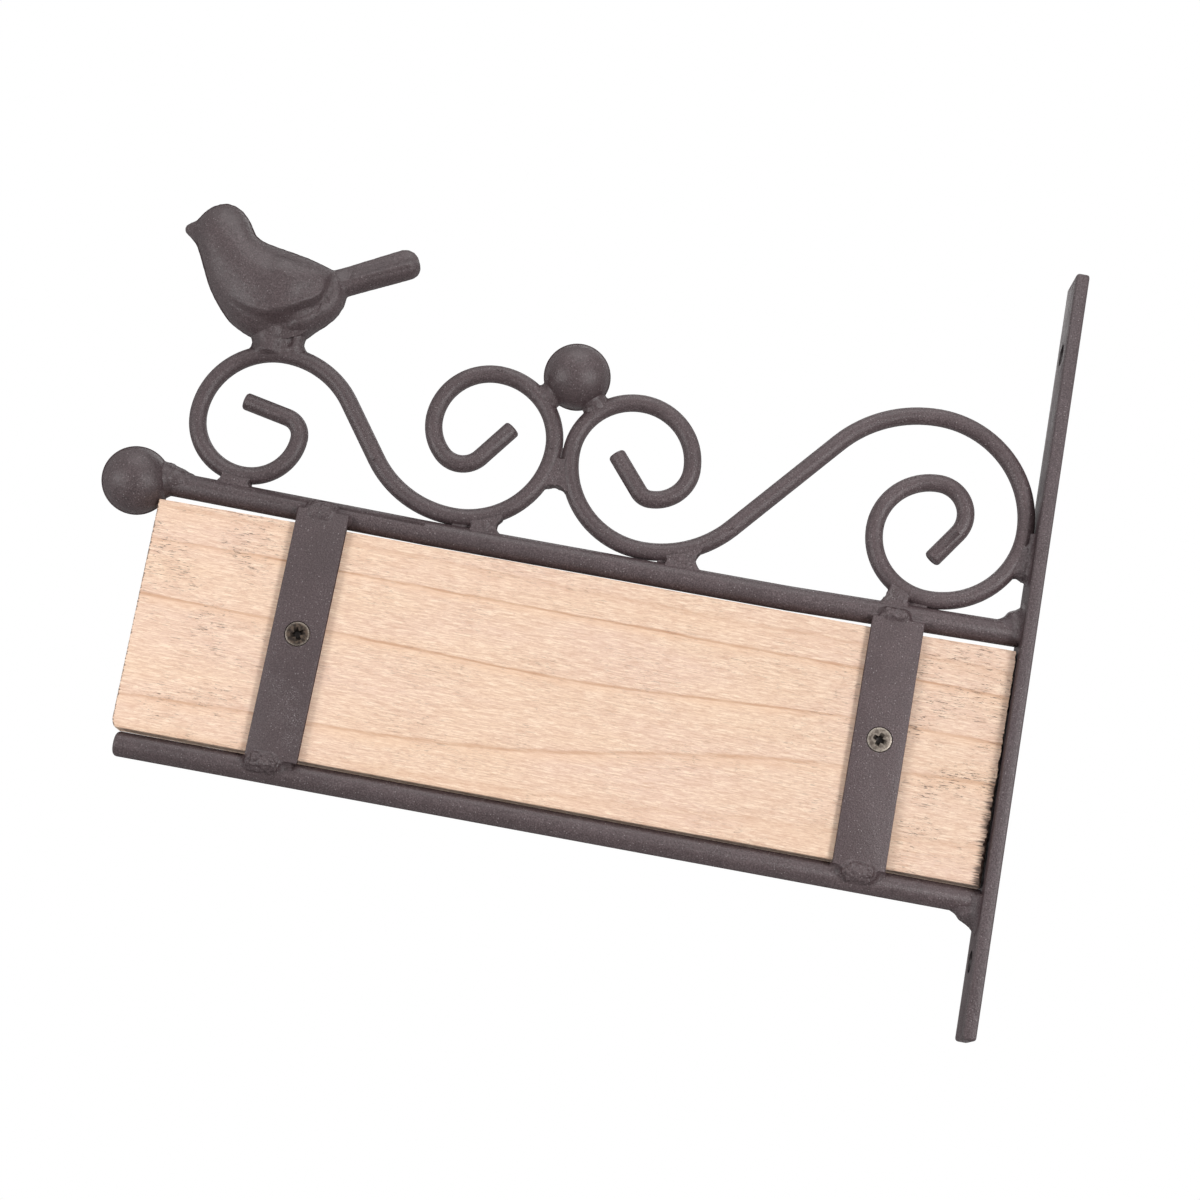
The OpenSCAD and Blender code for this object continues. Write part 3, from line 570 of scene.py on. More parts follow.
def makeBoard(size):
    rows, depths = size["rows"], size["depths"]
    thick, boardLong = size["far"] - size["near"], size["wallEnd"] - size["topEnd"]
    last = len(depths) - 1

    def tear(share, depth):
        mark = field.noise(Vector((share * 210, 3.1, size["seed"])))
        slow = field.noise(Vector((share * 26, 9.2, size["seed"])))
        low = lowShare(share)
        reach = size["tearTop"] * (1 - low) + size["tearLow"] * low
        reach = reach * (0.75 + 0.5 * slow) + size["tearJag"] * max(mark, -0.5) * (0.35 + 0.65 * low)
        return max(reach, 0.1) * math.exp(-(depth / size["tearDepth"]) ** 1.3)

    def at(station, row, layer):
        share, depth = row / rows, depths[layer]
        read = size["outer"] + size["long"] * station
        top = np.interp(read, *size["topEdge"])
        low = np.interp(read, *size["lowEdge"])
        outer = size["topEnd"] * (1 - share) + size["lowEnd"] * share
        outer += size["sawMarks"] * field.noise(Vector((share * 60, depth, 2.0)))
        if share > size["nickFrom"]:
            outer += size["nick"] * ((share - size["nickFrom"]) / (1 - size["nickFrom"])) ** 2
        x = outer + (size["wallEnd"] - outer) * station
        end = max(0.0, (station - size["tearFrom"]) / (1 - size["tearFrom"]))
        x -= tear(share, depth) * end ** 2
        z = top + (low - top) * share
        y = size["near"] + thick * depth / depths[-1]
        toEdge = min(top - z, z - low)
        inset = cornerInset(min(depth, depths[-1] - depth), size["corner"])
        z += inset if row == rows else -inset if row == 0 else 0
        side = 1 if layer == 0 else -1 if layer == last else 0
        if side:
            y += side * cornerInset(toEdge, size["corner"])
            grain = field.fractal(Vector((x * 0.09, side * 5.0, z * 1.6)), 0.6, 2.2, 3)
            y += side * size["grainDepth"] * (grain + 0.5)
        elif row in (0, rows):
            mark = size["edgeMarks"] * (1 + field.noise(Vector((x * 0.2, y * 1.3, row))))
            z -= mark if row == 0 else -mark
        return Vector((x, y, z)) * mm

    bm = bmesh.new()
    shadeLayer = bm.verts.layers.float.new("endShade")

    def addVert(station, row, layer):
        vert = bm.verts.new(at(station, row, layer))
        if layer == 0:  # painted shade on the front: at the torn end, partly the end grain's own colour, along the sawn end and along the top edge
            low = lowShare(row / rows)
            fromEnd = size["wallEnd"] - vert.co.x / mm
            fadeTop, fadeMore = size["frontFade"]
            fade = 0.8 * max(0.0, 1 - fromEnd / (fadeTop + fadeMore * low)) * (0.45 + 0.55 * low)
            rim = size["rimShade"] * max(0.0, 1 - station * boardLong / size["rimWide"])
            vert[shadeLayer] = max(fade, rim, size["topShade"] if row == 0 else 0.0)
        return vert

    ring = [(row, 0) for row in range(rows)] + [(rows, layer) for layer in range(last)]
    ring += [(row, last) for row in range(rows, 0, -1)] + [(0, layer) for layer in range(last, 0, -1)]
    loops = [[addVert(station, *spot) for spot in ring] for station in boardStations(size)]
    count = len(ring)
    for one, two in zip(loops, loops[1:]):
        for i in range(count):
            j = (i + 1) % count
            bm.faces.new((one[i], one[j], two[j], two[i]))
    for station, loop, shade in zip((0.0, 1.0), (loops[0], loops[-1]), size["endShades"]):
        lattice = dict(zip(ring, loop))
        for spot in product(range(rows + 1), range(last + 1)):
            if spot not in lattice:
                lattice[spot] = addVert(station, *spot)
            if station == 1.0 or spot[1] not in (0, last):
                lattice[spot][shadeLayer] = max(lattice[spot][shadeLayer], shade)
        for row, layer in product(range(rows), range(last)):
            spots = ((row, layer), (row, layer + 1), (row + 1, layer + 1), (row + 1, layer))
            corners = [lattice[spot] for spot in spots]
            bm.faces.new(corners if station == 0.0 else corners[::-1])
    bmesh.ops.recalc_face_normals(bm, faces=bm.faces)
    board = placed("pine_board", meshFrom(bm, "pineBoard"), pineLook, pine, "plank")
    print("board:", len(board.data.vertices), "points")


makeBoard(boardSize)


# Wall bar and straps: flat bar with rounded edges, drilled for the screws

flatPlan = {  # rounding of the edges and radius of the holes in mm, and the holes' direction
    "wall_bar": {"edge": 0.9, "bore": 3.25, "axis": "X", "look": barCoat},
    "outer_strap": {"edge": 0.3, "bore": 3.78, "axis": "Y", "look": coat},
    "inner_strap": {"edge": 0.3, "bore": 3.78, "axis": "Y", "look": coat, "top": 1.6},
}
boreSearch = {"off": 3.4, "from": 40, "to": 108, "x": -2, "drillLong": 20}  # mm
rodPlan = {"top_rail": 0.6, "bottom_rail": 0.6, "bird_scroll": 0.85, "wall_scroll": 0.85}  # end rounding
rodCap = {"corners": 14, "area": 10, "reach": 4.5, "step": 0.05, "edgeTurn": 60}  # how a cut end is found
smoothTurn = {"flat": 25, "rod": 28, "screw": 38}  # degrees, beyond which an edge stays sharp


def boreCutter(axis, spots, radius):
    bm = bmesh.new()
    turn = Matrix.Rotation(math.pi / 2, 3, "Y" if axis == "X" else "X")
    long = boreSearch["drillLong"] * mm
    for spot in spots:
        drill = bmesh.ops.create_cone(bm, cap_ends=True, segments=48, radius1=radius, radius2=radius,
                                      depth=long)
        bmesh.ops.rotate(bm, verts=drill["verts"], matrix=turn)
        bmesh.ops.translate(bm, verts=drill["verts"], vec=spot)
    return meshFrom(bm, "bore")


def boreSpots(nodeName):
    if nodeName != "wall_bar":
        low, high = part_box(nodeName.replace("strap", "screw"))
        middle = (low + high) / 2
        middle.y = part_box(nodeName)[0].y
        return [middle]
    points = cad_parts[nodeName].data.vertices
    heights = [vert.co.z for vert in points if abs(vert.co.y) < boreSearch["off"] * mm]
    spots = []
    for side in (-1, 1):
        group = [z for z in heights if boreSearch["from"] * mm < side * z < boreSearch["to"] * mm]
        spots.append(Vector((boreSearch["x"] * mm, 0, (min(group) + max(group)) / 2)))
    return spots


def makeFlat(nodeName, plan):
    low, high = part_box(nodeName)
    if "top" in plan:
        high.z = plan["top"] * mm
    bm = bmesh.new()
    bmesh.ops.create_cube(bm, size=1.0)
    for vert in bm.verts:
        vert.co = Vector([(low[i] + high[i]) / 2 + vert.co[i] * (high[i] - low[i]) for i in range(3)])
    edge = plan["edge"] * mm
    bmesh.ops.bevel(bm, geom=bm.edges[:], offset=edge, segments=3, profile=0.5, affect="EDGES")
    drill = boreCutter(plan["axis"], boreSpots(nodeName), plan["bore"] * mm)
    mesh = cutBy(meshFrom(bm, nodeName + "Raw"), drill)
    mesh.name = nodeName + "Flat"
    placed(nodeName + "_flat", mesh, plan["look"], steel, nodeName)
    mesh.set_sharp_from_angle(angle=math.radians(smoothTurn["flat"]))
    return len(mesh.vertices)


def isEndCap(bm, face):
    # all that lies near a cut end lies behind its plane
    middle = face.calc_center_median()
    near = [vert for vert in bm.verts if (vert.co - middle).length < rodCap["reach"] * mm]
    return all((vert.co - middle).dot(face.normal) < rodCap["step"] * mm for vert in near)


def makeRod(nodeName, width):
    bm = nodeCopy(nodeName)
    bmesh.ops.dissolve_limit(bm, angle_limit=math.radians(0.6), verts=bm.verts, edges=bm.edges)
    bm.normal_update()
    broad = [face for face in bm.faces
             if len(face.verts) > rodCap["corners"] and face.calc_area() > rodCap["area"] * mm ** 2]
    caps = [face for face in broad if isEndCap(bm, face)]
    cuts = []
    for edge in bm.edges:
        steep = edge.calc_face_angle(0) > math.radians(rodCap["edgeTurn"])
        if steep and any(face in caps for face in edge.link_faces):
            cuts.append(edge)
    bmesh.ops.bevel(bm, geom=cuts, offset=width * mm, segments=3, profile=0.5, affect="EDGES")
    count = len(cuts)
    mesh = meshFrom(bm, nodeName + "Rod")
    placed(nodeName + "_rod", mesh, coat, steel, nodeName)
    mesh.set_sharp_from_angle(angle=math.radians(smoothTurn["rod"]))
    return count


flats = [makeFlat(name, plan) for name, plan in flatPlan.items()]
rods = [makeRod(name, width) for name, width in rodPlan.items()]
print("flat bars:", flats, "rod ends rounded:", rods)


# The bird: the cast body with its wings, tail crease and sand-cast skin

birdPlan = {  # mm, with x and z counted from the top of the rod under the bird's peg
    "rodTop": 51.12,
    "voxel": 0.4, "rounds": 7, "swell": 0.1, "shift": (-0.15, 0.0, 0.1),
    "narrow": 0.925, "bodyEnd": 20, "wingEnd": 17.5, "tailStart": 13,
    "wingLow": [(-16, 11.4), (-10.5, 8.7), (-6.1, 7.0), (-1.9, 6.6), (2.3, 8.0), (5.0, 9.3),
                (8.8, 12.0), (10.6, 13.2), (12.5, 15.0), (13.4, 17.6)],
    "wingFront": (-17.0, 1.0), "wingTip": (12.6, 14.4), "wingTop": (19.0, 27.0),
    "wingRaise": 1.0, "ridge": 0.3, "ridgeAt": (1.3, 1.0),
    "hollow": 1.6, "hollowAt": (-1.9, 1.7), "hollowFront": (-7.0, 3.0), "hollowBack": (14.0, 16.5),
    "rump": 0.4, "rumpAt": (15.0, 1.2), "rumpLow": (15.0, 18.0), "rumpHigh": (23.0, 26.5),
    "crease": ((15.0, 20.8), (38.5, 31.9)), "creaseDepth": 0.45, "creaseWide": 0.55, "creaseEnd": (23.5, 26),
    "tailHalf": 4.2, "tailTaper": (0.5, 0.35),  # above and below the crease
    "legs": {"x": 4.5, "wide": 4.8, "z": (2.5, 8.5), "under": 9.0, "clear": 3.4},
    "skin": 0.08,
}
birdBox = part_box("bird")
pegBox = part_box("bird_peg")
birdHome = Vector(((pegBox[0].x + pegBox[1].x) / 2 / mm, 0, birdPlan["rodTop"]))


def hump(value, middle, width):
    return math.exp(-((value - middle) / width) ** 2)


def wingField(x, z):
    # how far the side stands out at x, z: the wing, the ridge along its lower edge, the hollow under it
    plan = birdPlan
    above = z - np.interp(x, *zip(*plan["wingLow"]))
    tipFade = 1 - ease(x, *plan["wingTip"])
    topFade = 1 - ease(z, *plan["wingTop"]) * 0.75
    raised = ease(above, -0.9, 0.9) * tipFade * ease(x, *plan["wingFront"]) * topFade
    crest = hump(above, *plan["ridgeAt"]) * tipFade * ease(x, -14.0, 0.0)
    dip = hump(above, *plan["hollowAt"]) * (1 - 0.45 * ease(x, 7.0, 12.0))
    dip *= ease(x, *plan["hollowFront"]) * (1 - ease(x, *plan["hollowBack"]))
    if x > 12.0:  # behind the wing's tip
        rump = hump(x, *plan["rumpAt"]) * ease(z, *plan["rumpLow"]) * (1 - ease(z, *plan["rumpHigh"]))
        dip = max(dip, rump * plan["rump"])
    return plan["wingRaise"] * raised + plan["ridge"] * crest - plan["hollow"] * dip


def makeBird(plan):
    voxel = {"mode": "VOXEL", "voxel_size": plan["voxel"] * mm}
    mesh = evaluated(meshFrom(nodeCopy("bird"), "birdRaw"), ("REMESH", voxel),
                     ("SMOOTH", {"factor": 0.5, "iterations": plan["rounds"]}))
    (x0, z0), (x1, z1) = plan["crease"]
    along = Vector((x1 - x0, z1 - z0)).normalized()
    legs, limit = plan["legs"], abs(birdBox[1].y / mm)
    swell, shift = plan["swell"], Vector(plan["shift"])
    normals = [vert.normal.copy() for vert in mesh.vertices]
    for vert, normal in zip(mesh.vertices, normals):
        x, y, z = vert.co / mm - birdHome + normal * swell + shift
        near = ease(abs(y), 0.3, 6.5)
        y *= plan["narrow"] if x < plan["bodyEnd"] else 1.0
        side = 1 if y > 0 else -1
        if x < plan["wingEnd"]:
            y += side * wingField(x, z) * near
        reach = (x - x0) * along.x + (z - z0) * along.y
        off = (z - z0) * along.x - (x - x0) * along.y
        if x > plan["tailStart"]:
            line = hump(off, -0.3, plan["creaseWide"]) * ease(reach, -0.5, 4)
            line *= 1 - ease(reach, *plan["creaseEnd"])
            y -= side * plan["creaseDepth"] * line * ease(abs(y), 0.6, 2.2)
            steep = plan["tailTaper"][0 if off > 0 else 1]
            y *= 1 - steep * min(1.0, abs(off) / plan["tailHalf"]) * ease(reach, 1.5, 6.0)
        if z < legs["under"] and abs(y) > legs["clear"]:  # the belly draws in round the two legs
            tuck = hump(x, legs["x"], legs["wide"]) * (1 - ease(z, *legs["z"]))
            y = side * max(abs(y) - legs["clear"] * tuck, legs["clear"])
        y = max(-limit, min(limit, y))
        vert.co = (Vector((x, y, z)) + birdHome) * mm
    normals = [vert.normal.copy() for vert in mesh.vertices]
    for vert, normal in zip(mesh.vertices, normals):
        place = vert.co / mm
        rough = field.noise(place * 0.9) * 0.9 + field.noise(place * 2.1) * 0.6
        vert.co += normal * rough * plan["skin"] * mm
    finished = evaluated(mesh, ("SMOOTH", {"factor": 0.4, "iterations": 1}))
    finished.name = "castBird"
    print("bird:", len(finished.vertices), "points")
    return placed("cast_bird", finished, coat, steel, "bird")


castBird = makeBird(birdPlan)


# Weld beads: each grows out of the pieces that it joins

weldLook = {  # mm; a bead's own plan below changes some of these
    "voxel": 0.3, "fillet": 1.2, "rounds": 6, "reach": 3.6,
    "lump": 0.3, "lumpSize": 1.9, "lumpFrom": (0.12, 1.1),
    "sink": 0.06, "sinkFrom": (0.04, 0.3),
    "shift": (0, 0, 0), "size": (1, 1, 1),
}
flatWeb = {"fillet": 0.15, "voxel": 0.22, "half": 2.35}
weldPlan = {
    "end_ball_weld": {"joins": ("top_rail", "end_ball"), "lump": 0.2, "fillet": 1.6, "size": (1, 0.95, 0.93)},
    "bird_peg_weld": {
        "joins": ("bird_peg", "bird_scroll", "cast_bird"), "covers": "bird_peg",
        "lump": 0.2, "fillet": 1.9, "reach": 5.0,
        "slit": {"x": -231.3, "z": 53.6, "share": 0.308}},  # between the two cast legs
    "bird_curl_weld": {**flatWeb, "joins": ("bird_scroll", "top_rail")},
    "bird_foot_weld": {**flatWeb, "joins": ("bird_scroll", "top_rail")},
    "wall_foot_weld": {**flatWeb, "joins": ("wall_scroll", "top_rail"), "fillet": 0.25},
    "wall_curl_weld": {**flatWeb, "joins": ("wall_scroll", "top_rail"), "fillet": 0.25, "half": 2.6},
    "scroll_joint_weld": {**flatWeb, "joins": ("bird_scroll", "wall_scroll"), "half": 2.1},
    "centre_ball_welds": {
        "joins": ("bird_scroll", "wall_scroll", "centre_ball"), "fillet": 0.5, "rounds": 10},
    "scroll_bar_weld": {"joins": ("wall_scroll", "wall_bar"), "lump": 0.3, "fillet": 0.8},
    "top_rail_bar_weld": {"joins": ("top_rail", "wall_bar"), "lump": 0.15, "fillet": 2.4},
    "bottom_rail_bar_weld": {"joins": ("bottom_rail", "wall_bar"), "lump": 0.2, "fillet": 2.6, "reach": 4.5},
    "outer_strap_top_weld": {
        "joins": ("outer_strap", "top_rail"), "lump": 0.6, "fillet": 1.0, "lumpSize": 1.1,
        "shift": (-0.9, 0.2, -1.2), "size": (0.9, 0.75, 1.15)},
    "outer_strap_foot_weld": {"joins": ("outer_strap", "bottom_rail"), "lump": 0.7, "lumpSize": 1.3},
    "inner_strap_top_weld": {
        "joins": ("inner_strap", "top_rail", "wall_curl_weld"), "lump": 0.45, "fillet": 0.6, "lumpSize": 1.2,
        "shift": (-1.2, 0.2, -1.2), "size": (0.85, 0.9, 0.75)},
    "inner_strap_foot_weld": {"joins": ("inner_strap", "bottom_rail"), "lump": 0.6, "lumpSize": 1.3},
}
webOutlines = {  # flat webs between two rods: corners in mm as x and z
    "bird_curl_weld": [
        (-244.2, 5), (-243.4, 7.4), (-242.7, 8.4), (-242.6, 9.2), (-243, 10.2), (-241.2, 11.6), (-236.5, 11),
        (-233.9, 10), (-234.2, 8.7), (-234.5, 8.1), (-234.4, 7.6), (-233.6, 7.1), (-233.4, 5)],
    "bird_foot_weld": [
        (-167.4, 3.3), (-167.5, 7), (-167.4, 8.2), (-167.3, 10.4), (-163, 11), (-159.5, 12.3), (-158.5, 11),
        (-159.6, 9.9), (-160, 8.9), (-159.95, 8), (-159.5, 7.1), (-158.7, 6.5), (-158.2, 5.5), (-158.5, 3.3)],
    "wall_foot_weld": [
        (-109.1, 3.5), (-109.2, 6.6), (-109, 7.9), (-109, 10), (-104, 11), (-100.2, 13.2),
        (-99.2, 12.2), (-100.1, 10.8), (-100.6, 9.8), (-100.7, 8.7), (-100.4, 7.7), (-99.6, 6.95),
        (-98.8, 6.2), (-98.8, 3.5)],
    "wall_curl_weld": [
        (-46, 4), (-45.1, 7.4), (-44.3, 8.3), (-44, 9.4), (-43.8, 10.6), (-43.2, 12), (-40, 11.5),
        (-38.2, 10.4), (-37.6, 9), (-37.8, 7.6), (-38.4, 4)],
    "scroll_joint_weld": [
        (-149.5, 23.5), (-149, 22), (-148.2, 22.85), (-147, 23.45), (-145.5, 23.8), (-144, 23.7),
        (-142.9, 23.3), (-142, 22.3), (-141.3, 22.4), (-141.7, 31.2), (-144.95, 32.2), (-148.3, 31.6)],
}


def webPart(outline, half):
    bm = bmesh.new()
    near, far = [[bm.verts.new((x * mm, y * mm, z * mm)) for x, z in outline] for y in (-half, half)]
    bm.faces.new(near)
    bm.faces.new(far[::-1])
    for i in range(len(outline)):
        j = (i + 1) % len(outline)
        bm.faces.new((near[i], near[j], far[j], far[i]))
    bmesh.ops.recalc_face_normals(bm, faces=bm.faces)
    return bm


def gatherParts(nodeName, plan):
    # the bead and the near parts of what it joins, as one loose mesh, and a search tree of each old part
    boxes = [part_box(name) for name in (nodeName, plan.get("covers", nodeName))]
    pad = plan["reach"] * mm
    low = Vector([min(box[0][axis] for box in boxes) - pad for axis in range(3)])
    high = Vector([max(box[1][axis] for box in boxes) + pad for axis in range(3)])
    middle, shift = (low + high) / 2, Vector(plan["shift"]) * mm
    whole, trees = bmesh.new(), []
    for joined in (nodeName, *plan["joins"]):
        part = looseCopies[joined].copy()
        if joined == nodeName:
            for vert in part.verts:
                offset = [(vert.co[i] - middle[i]) * plan["size"][i] for i in range(3)]
                vert.co = middle + shift + Vector(offset)
        cropped(part, low, high)
        if joined != plan.get("covers") and not joined.endswith(("weld", "welds")):
            trees.append(BVHTree.FromBMesh(part))
        piece = meshFrom(part, "part")
        whole.from_mesh(piece)
        bpy.data.meshes.remove(piece)
    return meshFrom(whole, "weldRaw"), trees


def heightOver(trees, place):
    # how far a point stands off the nearest joined part, and that part's nearest spot and direction
    depth, nearest, facing = mm, None, None
    for tree in trees:
        spot, way, index, away = tree.find_nearest(place)
        if spot is None:
            continue
        signed = away if (place - spot).dot(way) > 0 else -away
        if signed < depth:
            depth, nearest, facing = signed, spot, way
    return depth, nearest, facing


def makeWeld(nodeName, plan):
    plan = {**weldLook, **plan}
    raw, trees = gatherParts(nodeName, plan)
    grid = {"mode": "VOXEL", "voxel_size": plan["voxel"] * mm}
    soft = {"factor": 0.5, "iterations": plan["rounds"]}
    # swollen and shrunk again, which leaves a round fillet wherever two pieces meet
    swell = {"strength": plan["fillet"] * mm, "mid_level": 0.0}
    shrink = {"strength": -plan["fillet"] * mm, "mid_level": 0.0}
    mesh = evaluated(raw, ("REMESH", grid), ("SMOOTH", soft), ("DISPLACE", swell), ("REMESH", grid),
                     ("SMOOTH", soft), ("DISPLACE", shrink), ("SMOOTH", soft))
    seed = Vector((len(nodeName) * 1.7, len(plan["joins"]) * 3.1, 0.0))
    lumpLow, lumpHigh = [value * mm for value in plan["lumpFrom"]]
    sinkLow, sinkHigh = [value * mm for value in plan["sinkFrom"]]
    normals = [vert.normal.copy() for vert in mesh.vertices]
    for vert, normal in zip(mesh.vertices, normals):
        if "slit" in plan:
            slit = plan["slit"]
            dx, dz = vert.co.x / mm - slit["x"], vert.co.z / mm - slit["z"]
            vert.co.y *= 1 - slit["share"] * hump(dx, 0, 0.85) * hump(max(abs(dz) - 1.4, 0), 0, 0.9)
        depth, nearest, facing = heightOver(trees, vert.co)
        if depth > lumpLow:
            place = vert.co / mm / plan["lumpSize"] + seed
            lump = field.noise(place) + 0.45 * field.noise(place * 2.7)
            vert.co += normal * lump * plan["lump"] * mm * ease(depth, lumpLow, lumpHigh)
        if nearest is not None and -sinkHigh < depth < sinkHigh:
            share = 1 - ease(depth, sinkLow, sinkHigh)
            vert.co = vert.co.lerp(nearest - facing * plan["sink"] * mm, share)
    stands = [nodeName] + ([plan["covers"]] if "covers" in plan else [])
    look = barCoat if "wall_bar" in plan["joins"] else coat
    placed(nodeName.replace("_weld", "_bead"), mesh, look, steel, *stands)
    return len(mesh.vertices)


joinedNames = sorted({name for plan in weldPlan.values() for name in plan["joins"]} | set(weldPlan))
looseCopies = {name: nodeCopy(name) for name in joinedNames if name != "cast_bird"}
looseCopies["cast_bird"] = bmesh.new()
looseCopies["cast_bird"].from_mesh(castBird.data)
for name, outline in webOutlines.items():
    looseCopies[name] = webPart(outline, weldPlan[name]["half"])
stripLow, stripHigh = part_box("inner_strap")
spare = Vector((mm, mm, mm))
stripHigh.z = flatPlan["inner_strap"]["top"] * mm - mm
cropped(looseCopies["inner_strap"], stripLow - spare, stripHigh + spare)
total = sum(makeWeld(name, plan) for name, plan in weldPlan.items())
print("weld beads:", total, "points")


# The two countersunk screws: a head with a cross cut into it, a shank and a thread, in dull antique brass,
# with painted shade in the cross and round the head's edge

screwPlan = {  # mm
    "head": 3.6, "headDepth": 1.9, "headRim": 0.24, "dome": 0.14,
    "shank": 1.25, "tip": 0.25, "point": 2.4, "steps": 72,
    "cross": 2.2, "crossWidth": 0.7, "crossDepth": 1.25, "crossTaper": 0.42, "edge": 0.05,
    "threadOut": 0.42, "pitch": 1.25, "threadStart": 2.3, "threadEnd": 0.3,
    "screws": {"outer_screw": {"turn": 25, "tone": 0.0}, "inner_screw": {"turn": -20, "tone": 1.0}},
}
brassTones = {  # two colours each, which the wear or the screw's tone mixes
    "bronze": ((0.03, 0.023, 0.019), (0.085, 0.062, 0.047)),
    "pewter": ((0.1, 0.082, 0.068), (0.21, 0.18, 0.152)),
    "rubbed": ((0.24, 0.205, 0.175), (0.34, 0.3, 0.26)),
    # near-black painted shade in the cross and round the head's edge
    "recess": (0.012, 0.01, 0.009),
    "metallic": 0.85, "roughness": (0.36, 0.6), "bumpStrength": 0.25, "bumpDepth": 0.06 * mm,
}


def makeBrass(tones):
    material, tree, shader, place = newMaterial("antiqueBrass")
    tone, rim, recess = [storedValue(tree, name) for name in ("tone", "rim", "recess")]
    wear = noiseAt(tree, place, 900, 4, 0.6)
    fine = noiseAt(tree, place, 3200, 2, 0.5)
    patch = spread(tree, wear, 0.4, 0.62)
    bronze, pewter = [tint(tree, patch, *map(rgba, tones[name])) for name in ("bronze", "pewter")]
    bright = tint(tree, tone, *map(rgba, tones["rubbed"]))
    rubbed = times(tree, rim, spread(tree, fine, 0.35, 0.6))
    colour = tint(tree, rubbed, tint(tree, tone, bronze, pewter), bright)
    # painted shade in the cross and round the head's edge
    colour = tint(tree, recess, colour, rgba(tones["recess"]))
    tree.links.new(colour, shader.inputs["Base Color"])
    tree.links.new(spread(tree, wear, 0.3, 0.7, *tones["roughness"]), shader.inputs["Roughness"])
    shader.inputs["Metallic"].default_value = tones["metallic"]
    addBump(tree, shader, fine, tones["bumpStrength"], tones["bumpDepth"])
    return material


brassLook = makeBrass(brassTones)


def revolved(profile, steps):
    # a closed turned solid round Y; the profile runs from pole to pole as (radius, y)
    bm = bmesh.new()
    turns = [math.tau * i / steps for i in range(steps)]
    rings = []
    for radius, y in profile:
        spots = [(radius * math.cos(a), y, radius * math.sin(a)) for a in turns] if radius else [(0, y, 0)]
        rings.append([bm.verts.new(spot) for spot in spots])
    for near, far in zip(rings, rings[1:]):
        for i in range(steps):
            j = i + 1
            corners = [near[i % len(near)], near[j % len(near)], far[j % len(far)], far[i % len(far)]]
            bm.faces.new(list(dict.fromkeys(corners)))
    bmesh.ops.recalc_face_normals(bm, faces=bm.faces)
    return bm


def crossCutter(plan, turn):
    bm = bmesh.new()
    levels = ((-0.6, 1.08), (plan["crossDepth"], plan["crossTaper"]))  # y, share of the full width
    for quarter, deeper in ((0, 1.0), (90, 1.02)):  # so that no two floors lie in one plane
        angle = math.radians(turn + quarter)
        along = Vector((math.cos(angle), 0, math.sin(angle)))
        across = Vector((-math.sin(angle), 0, math.cos(angle)))
        rings = []
        for y, share in levels:
            half, wide = plan["cross"] * share, plan["crossWidth"] * (0.55 + 0.45 * share)
            rings.append([bm.verts.new(along * half * u + across * wide * v + Vector((0, y * deeper, 0)))
                          for u, v in ((-1, -1), (1, -1), (1, 1), (-1, 1))])
        bm.faces.new(rings[0])
        bm.faces.new(rings[1][::-1])
        for i in range(4):
            j = (i + 1) % 4
            bm.faces.new([rings[0][i], rings[1][i], rings[1][j], rings[0][j]])
    bmesh.ops.recalc_face_normals(bm, faces=bm.faces)
    return bm


def threadTree(look):
    # Geometry Nodes: a helix with a pointed rib swept along it
    tree = bpy.data.node_groups.new("screwThread", "GeometryNodeTree")
    tree.interface.new_socket("Geometry", in_out="INPUT", socket_type="NodeSocketGeometry")
    for name in ("Turns", "Radius", "Length", "Rib"):
        tree.interface.new_socket(name, in_out="INPUT", socket_type="NodeSocketFloat")
    tree.interface.new_socket("Geometry", in_out="OUTPUT", socket_type="NodeSocketGeometry")
    given = addNode(tree, "NodeGroupInput").outputs
    helix = addNode(tree, "GeometryNodeCurveSpiral", {
        "Resolution": 32, "Rotations": given["Turns"], "Start Radius": given["Radius"],
        "End Radius": given["Radius"], "Height": given["Length"]})
    rib = addNode(tree, "GeometryNodeCurvePrimitiveCircle", {"Resolution": 4, "Radius": given["Rib"]})
    swept = addNode(tree, "GeometryNodeCurveToMesh", {
        "Curve": helix.outputs[0], "Profile Curve": rib.outputs[0], "Fill Caps": True})
    real = addNode(tree, "GeometryNodeRealizeInstances", {0: swept.outputs[0]})
    skin = addNode(tree, "GeometryNodeSetMaterial", {"Geometry": real.outputs[0], "Material": look})
    addNode(tree, "NodeGroupOutput", {0: skin.outputs[0]})
    return tree


ribTree = threadTree(brassLook)


def threadMesh(turns, radius, length, rib):
    holder = addObject("threadHolder", bpy.data.meshes.new("thread"))
    modifier = holder.modifiers.new("thread", "NODES")
    modifier.node_group = ribTree
    wanted = {"Turns": turns, "Radius": radius, "Length": length, "Rib": rib}
    for item in ribTree.interface.items_tree:
        if item.in_out == "INPUT" and item.name in wanted:
            modifier[item.identifier] = wanted[item.name]
    graph = bpy.context.evaluated_depsgraph_get()
    mesh = bpy.data.meshes.new_from_object(holder.evaluated_get(graph))
    bpy.data.objects.remove(holder)
    return mesh


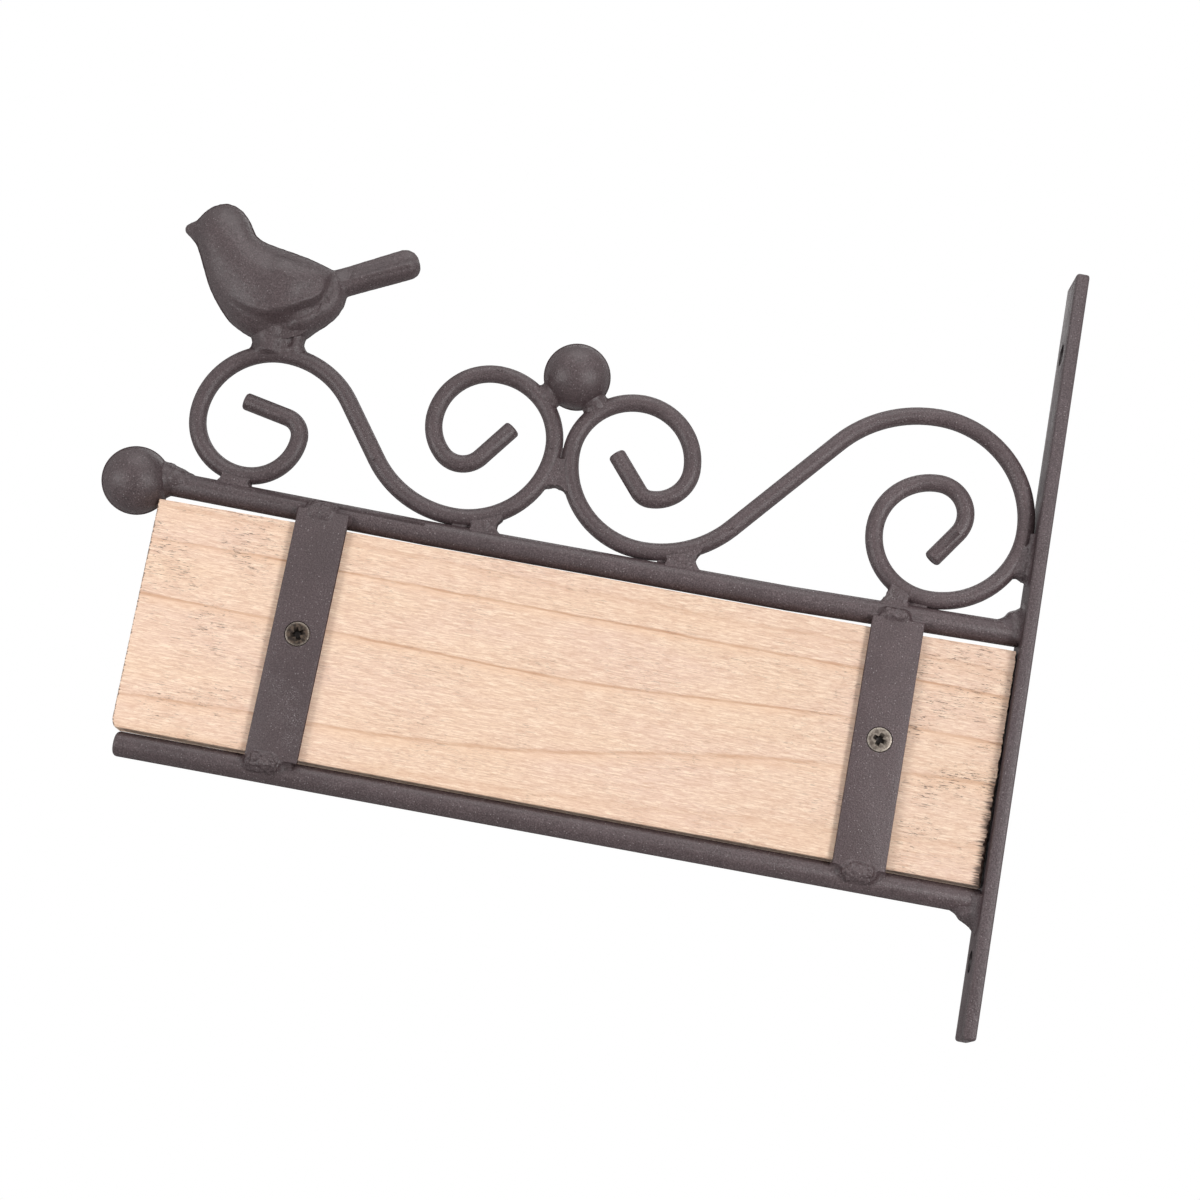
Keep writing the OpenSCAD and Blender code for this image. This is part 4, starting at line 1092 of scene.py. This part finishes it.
def makeScrew(nodeName, turn, tone):
    plan = screwPlan
    low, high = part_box(nodeName)
    home = Vector(((low.x + high.x) / 2, low.y, (low.z + high.z) / 2))
    long = (high.y - low.y) / mm
    head, shank, dome = plan["head"], plan["shank"], plan["dome"]
    profile = [(0, -dome), (head * 0.5, -dome * 0.78), (head * 0.8, -dome * 0.4), (head * 0.95, 0),
               (head, 0.1), (head, plan["headRim"]), (shank, plan["headDepth"]),
               (shank, long - plan["point"]), (plan["tip"], long - 0.1), (0, long)]
    solid = meshFrom(revolved(profile, plan["steps"]), "screwSolid")
    cutter = meshFrom(crossCutter(plan, turn), "screwCutter")
    rounded = {"width": plan["edge"], "segments": 2, "limit_method": "ANGLE", "angle_limit": math.radians(40)}
    cut = cutBy(solid, cutter, ("BEVEL", rounded), use_self=True)
    ribLong = long - plan["point"] - plan["threadStart"] - plan["threadEnd"]
    bm = bmesh.new()
    bm.from_mesh(threadMesh(ribLong / plan["pitch"], shank, ribLong, plan["threadOut"]))
    for vert in bm.verts:
        vert.co = Vector((vert.co.x, vert.co.z + plan["threadStart"], -vert.co.y))
    bm.from_mesh(cut)
    stored = {"rim": [], "recess": [], "tone": []}
    for vert in bm.verts:
        radius, y = math.hypot(vert.co.x, vert.co.z), vert.co.y
        inCross = y > 0.12 and radius < plan["cross"] * 1.08
        stored["rim"].append(ease(radius, head * 0.86, head * 0.93) if y < 0.3 else 0.0)
        # painted shade in the cross and round the head's edge, where it sits in the strap
        stored["recess"].append(1.0 if inCross or radius > head * 0.985 else 0.0)
        stored["tone"].append(tone)
        vert.co = vert.co * mm + home
    mesh = meshFrom(bm, nodeName + "Mesh")
    for name, values in stored.items():
        mesh.attributes.new(name, "FLOAT", "POINT").data.foreach_set("value", values)
    placed(nodeName.replace("_screw", "_wood_screw"), mesh, brassLook, brass, nodeName)
    mesh.set_sharp_from_angle(angle=math.radians(smoothTurn["screw"]))


for screwName, look in screwPlan["screws"].items():
    makeScrew(screwName, **look)
print("screws:", len(screwPlan["screws"]))


# The CAD nodes that still show, which are the two balls

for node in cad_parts.values():
    if not node.hide_render:
        node.data.materials.clear()
        node.data.materials.append(coat)
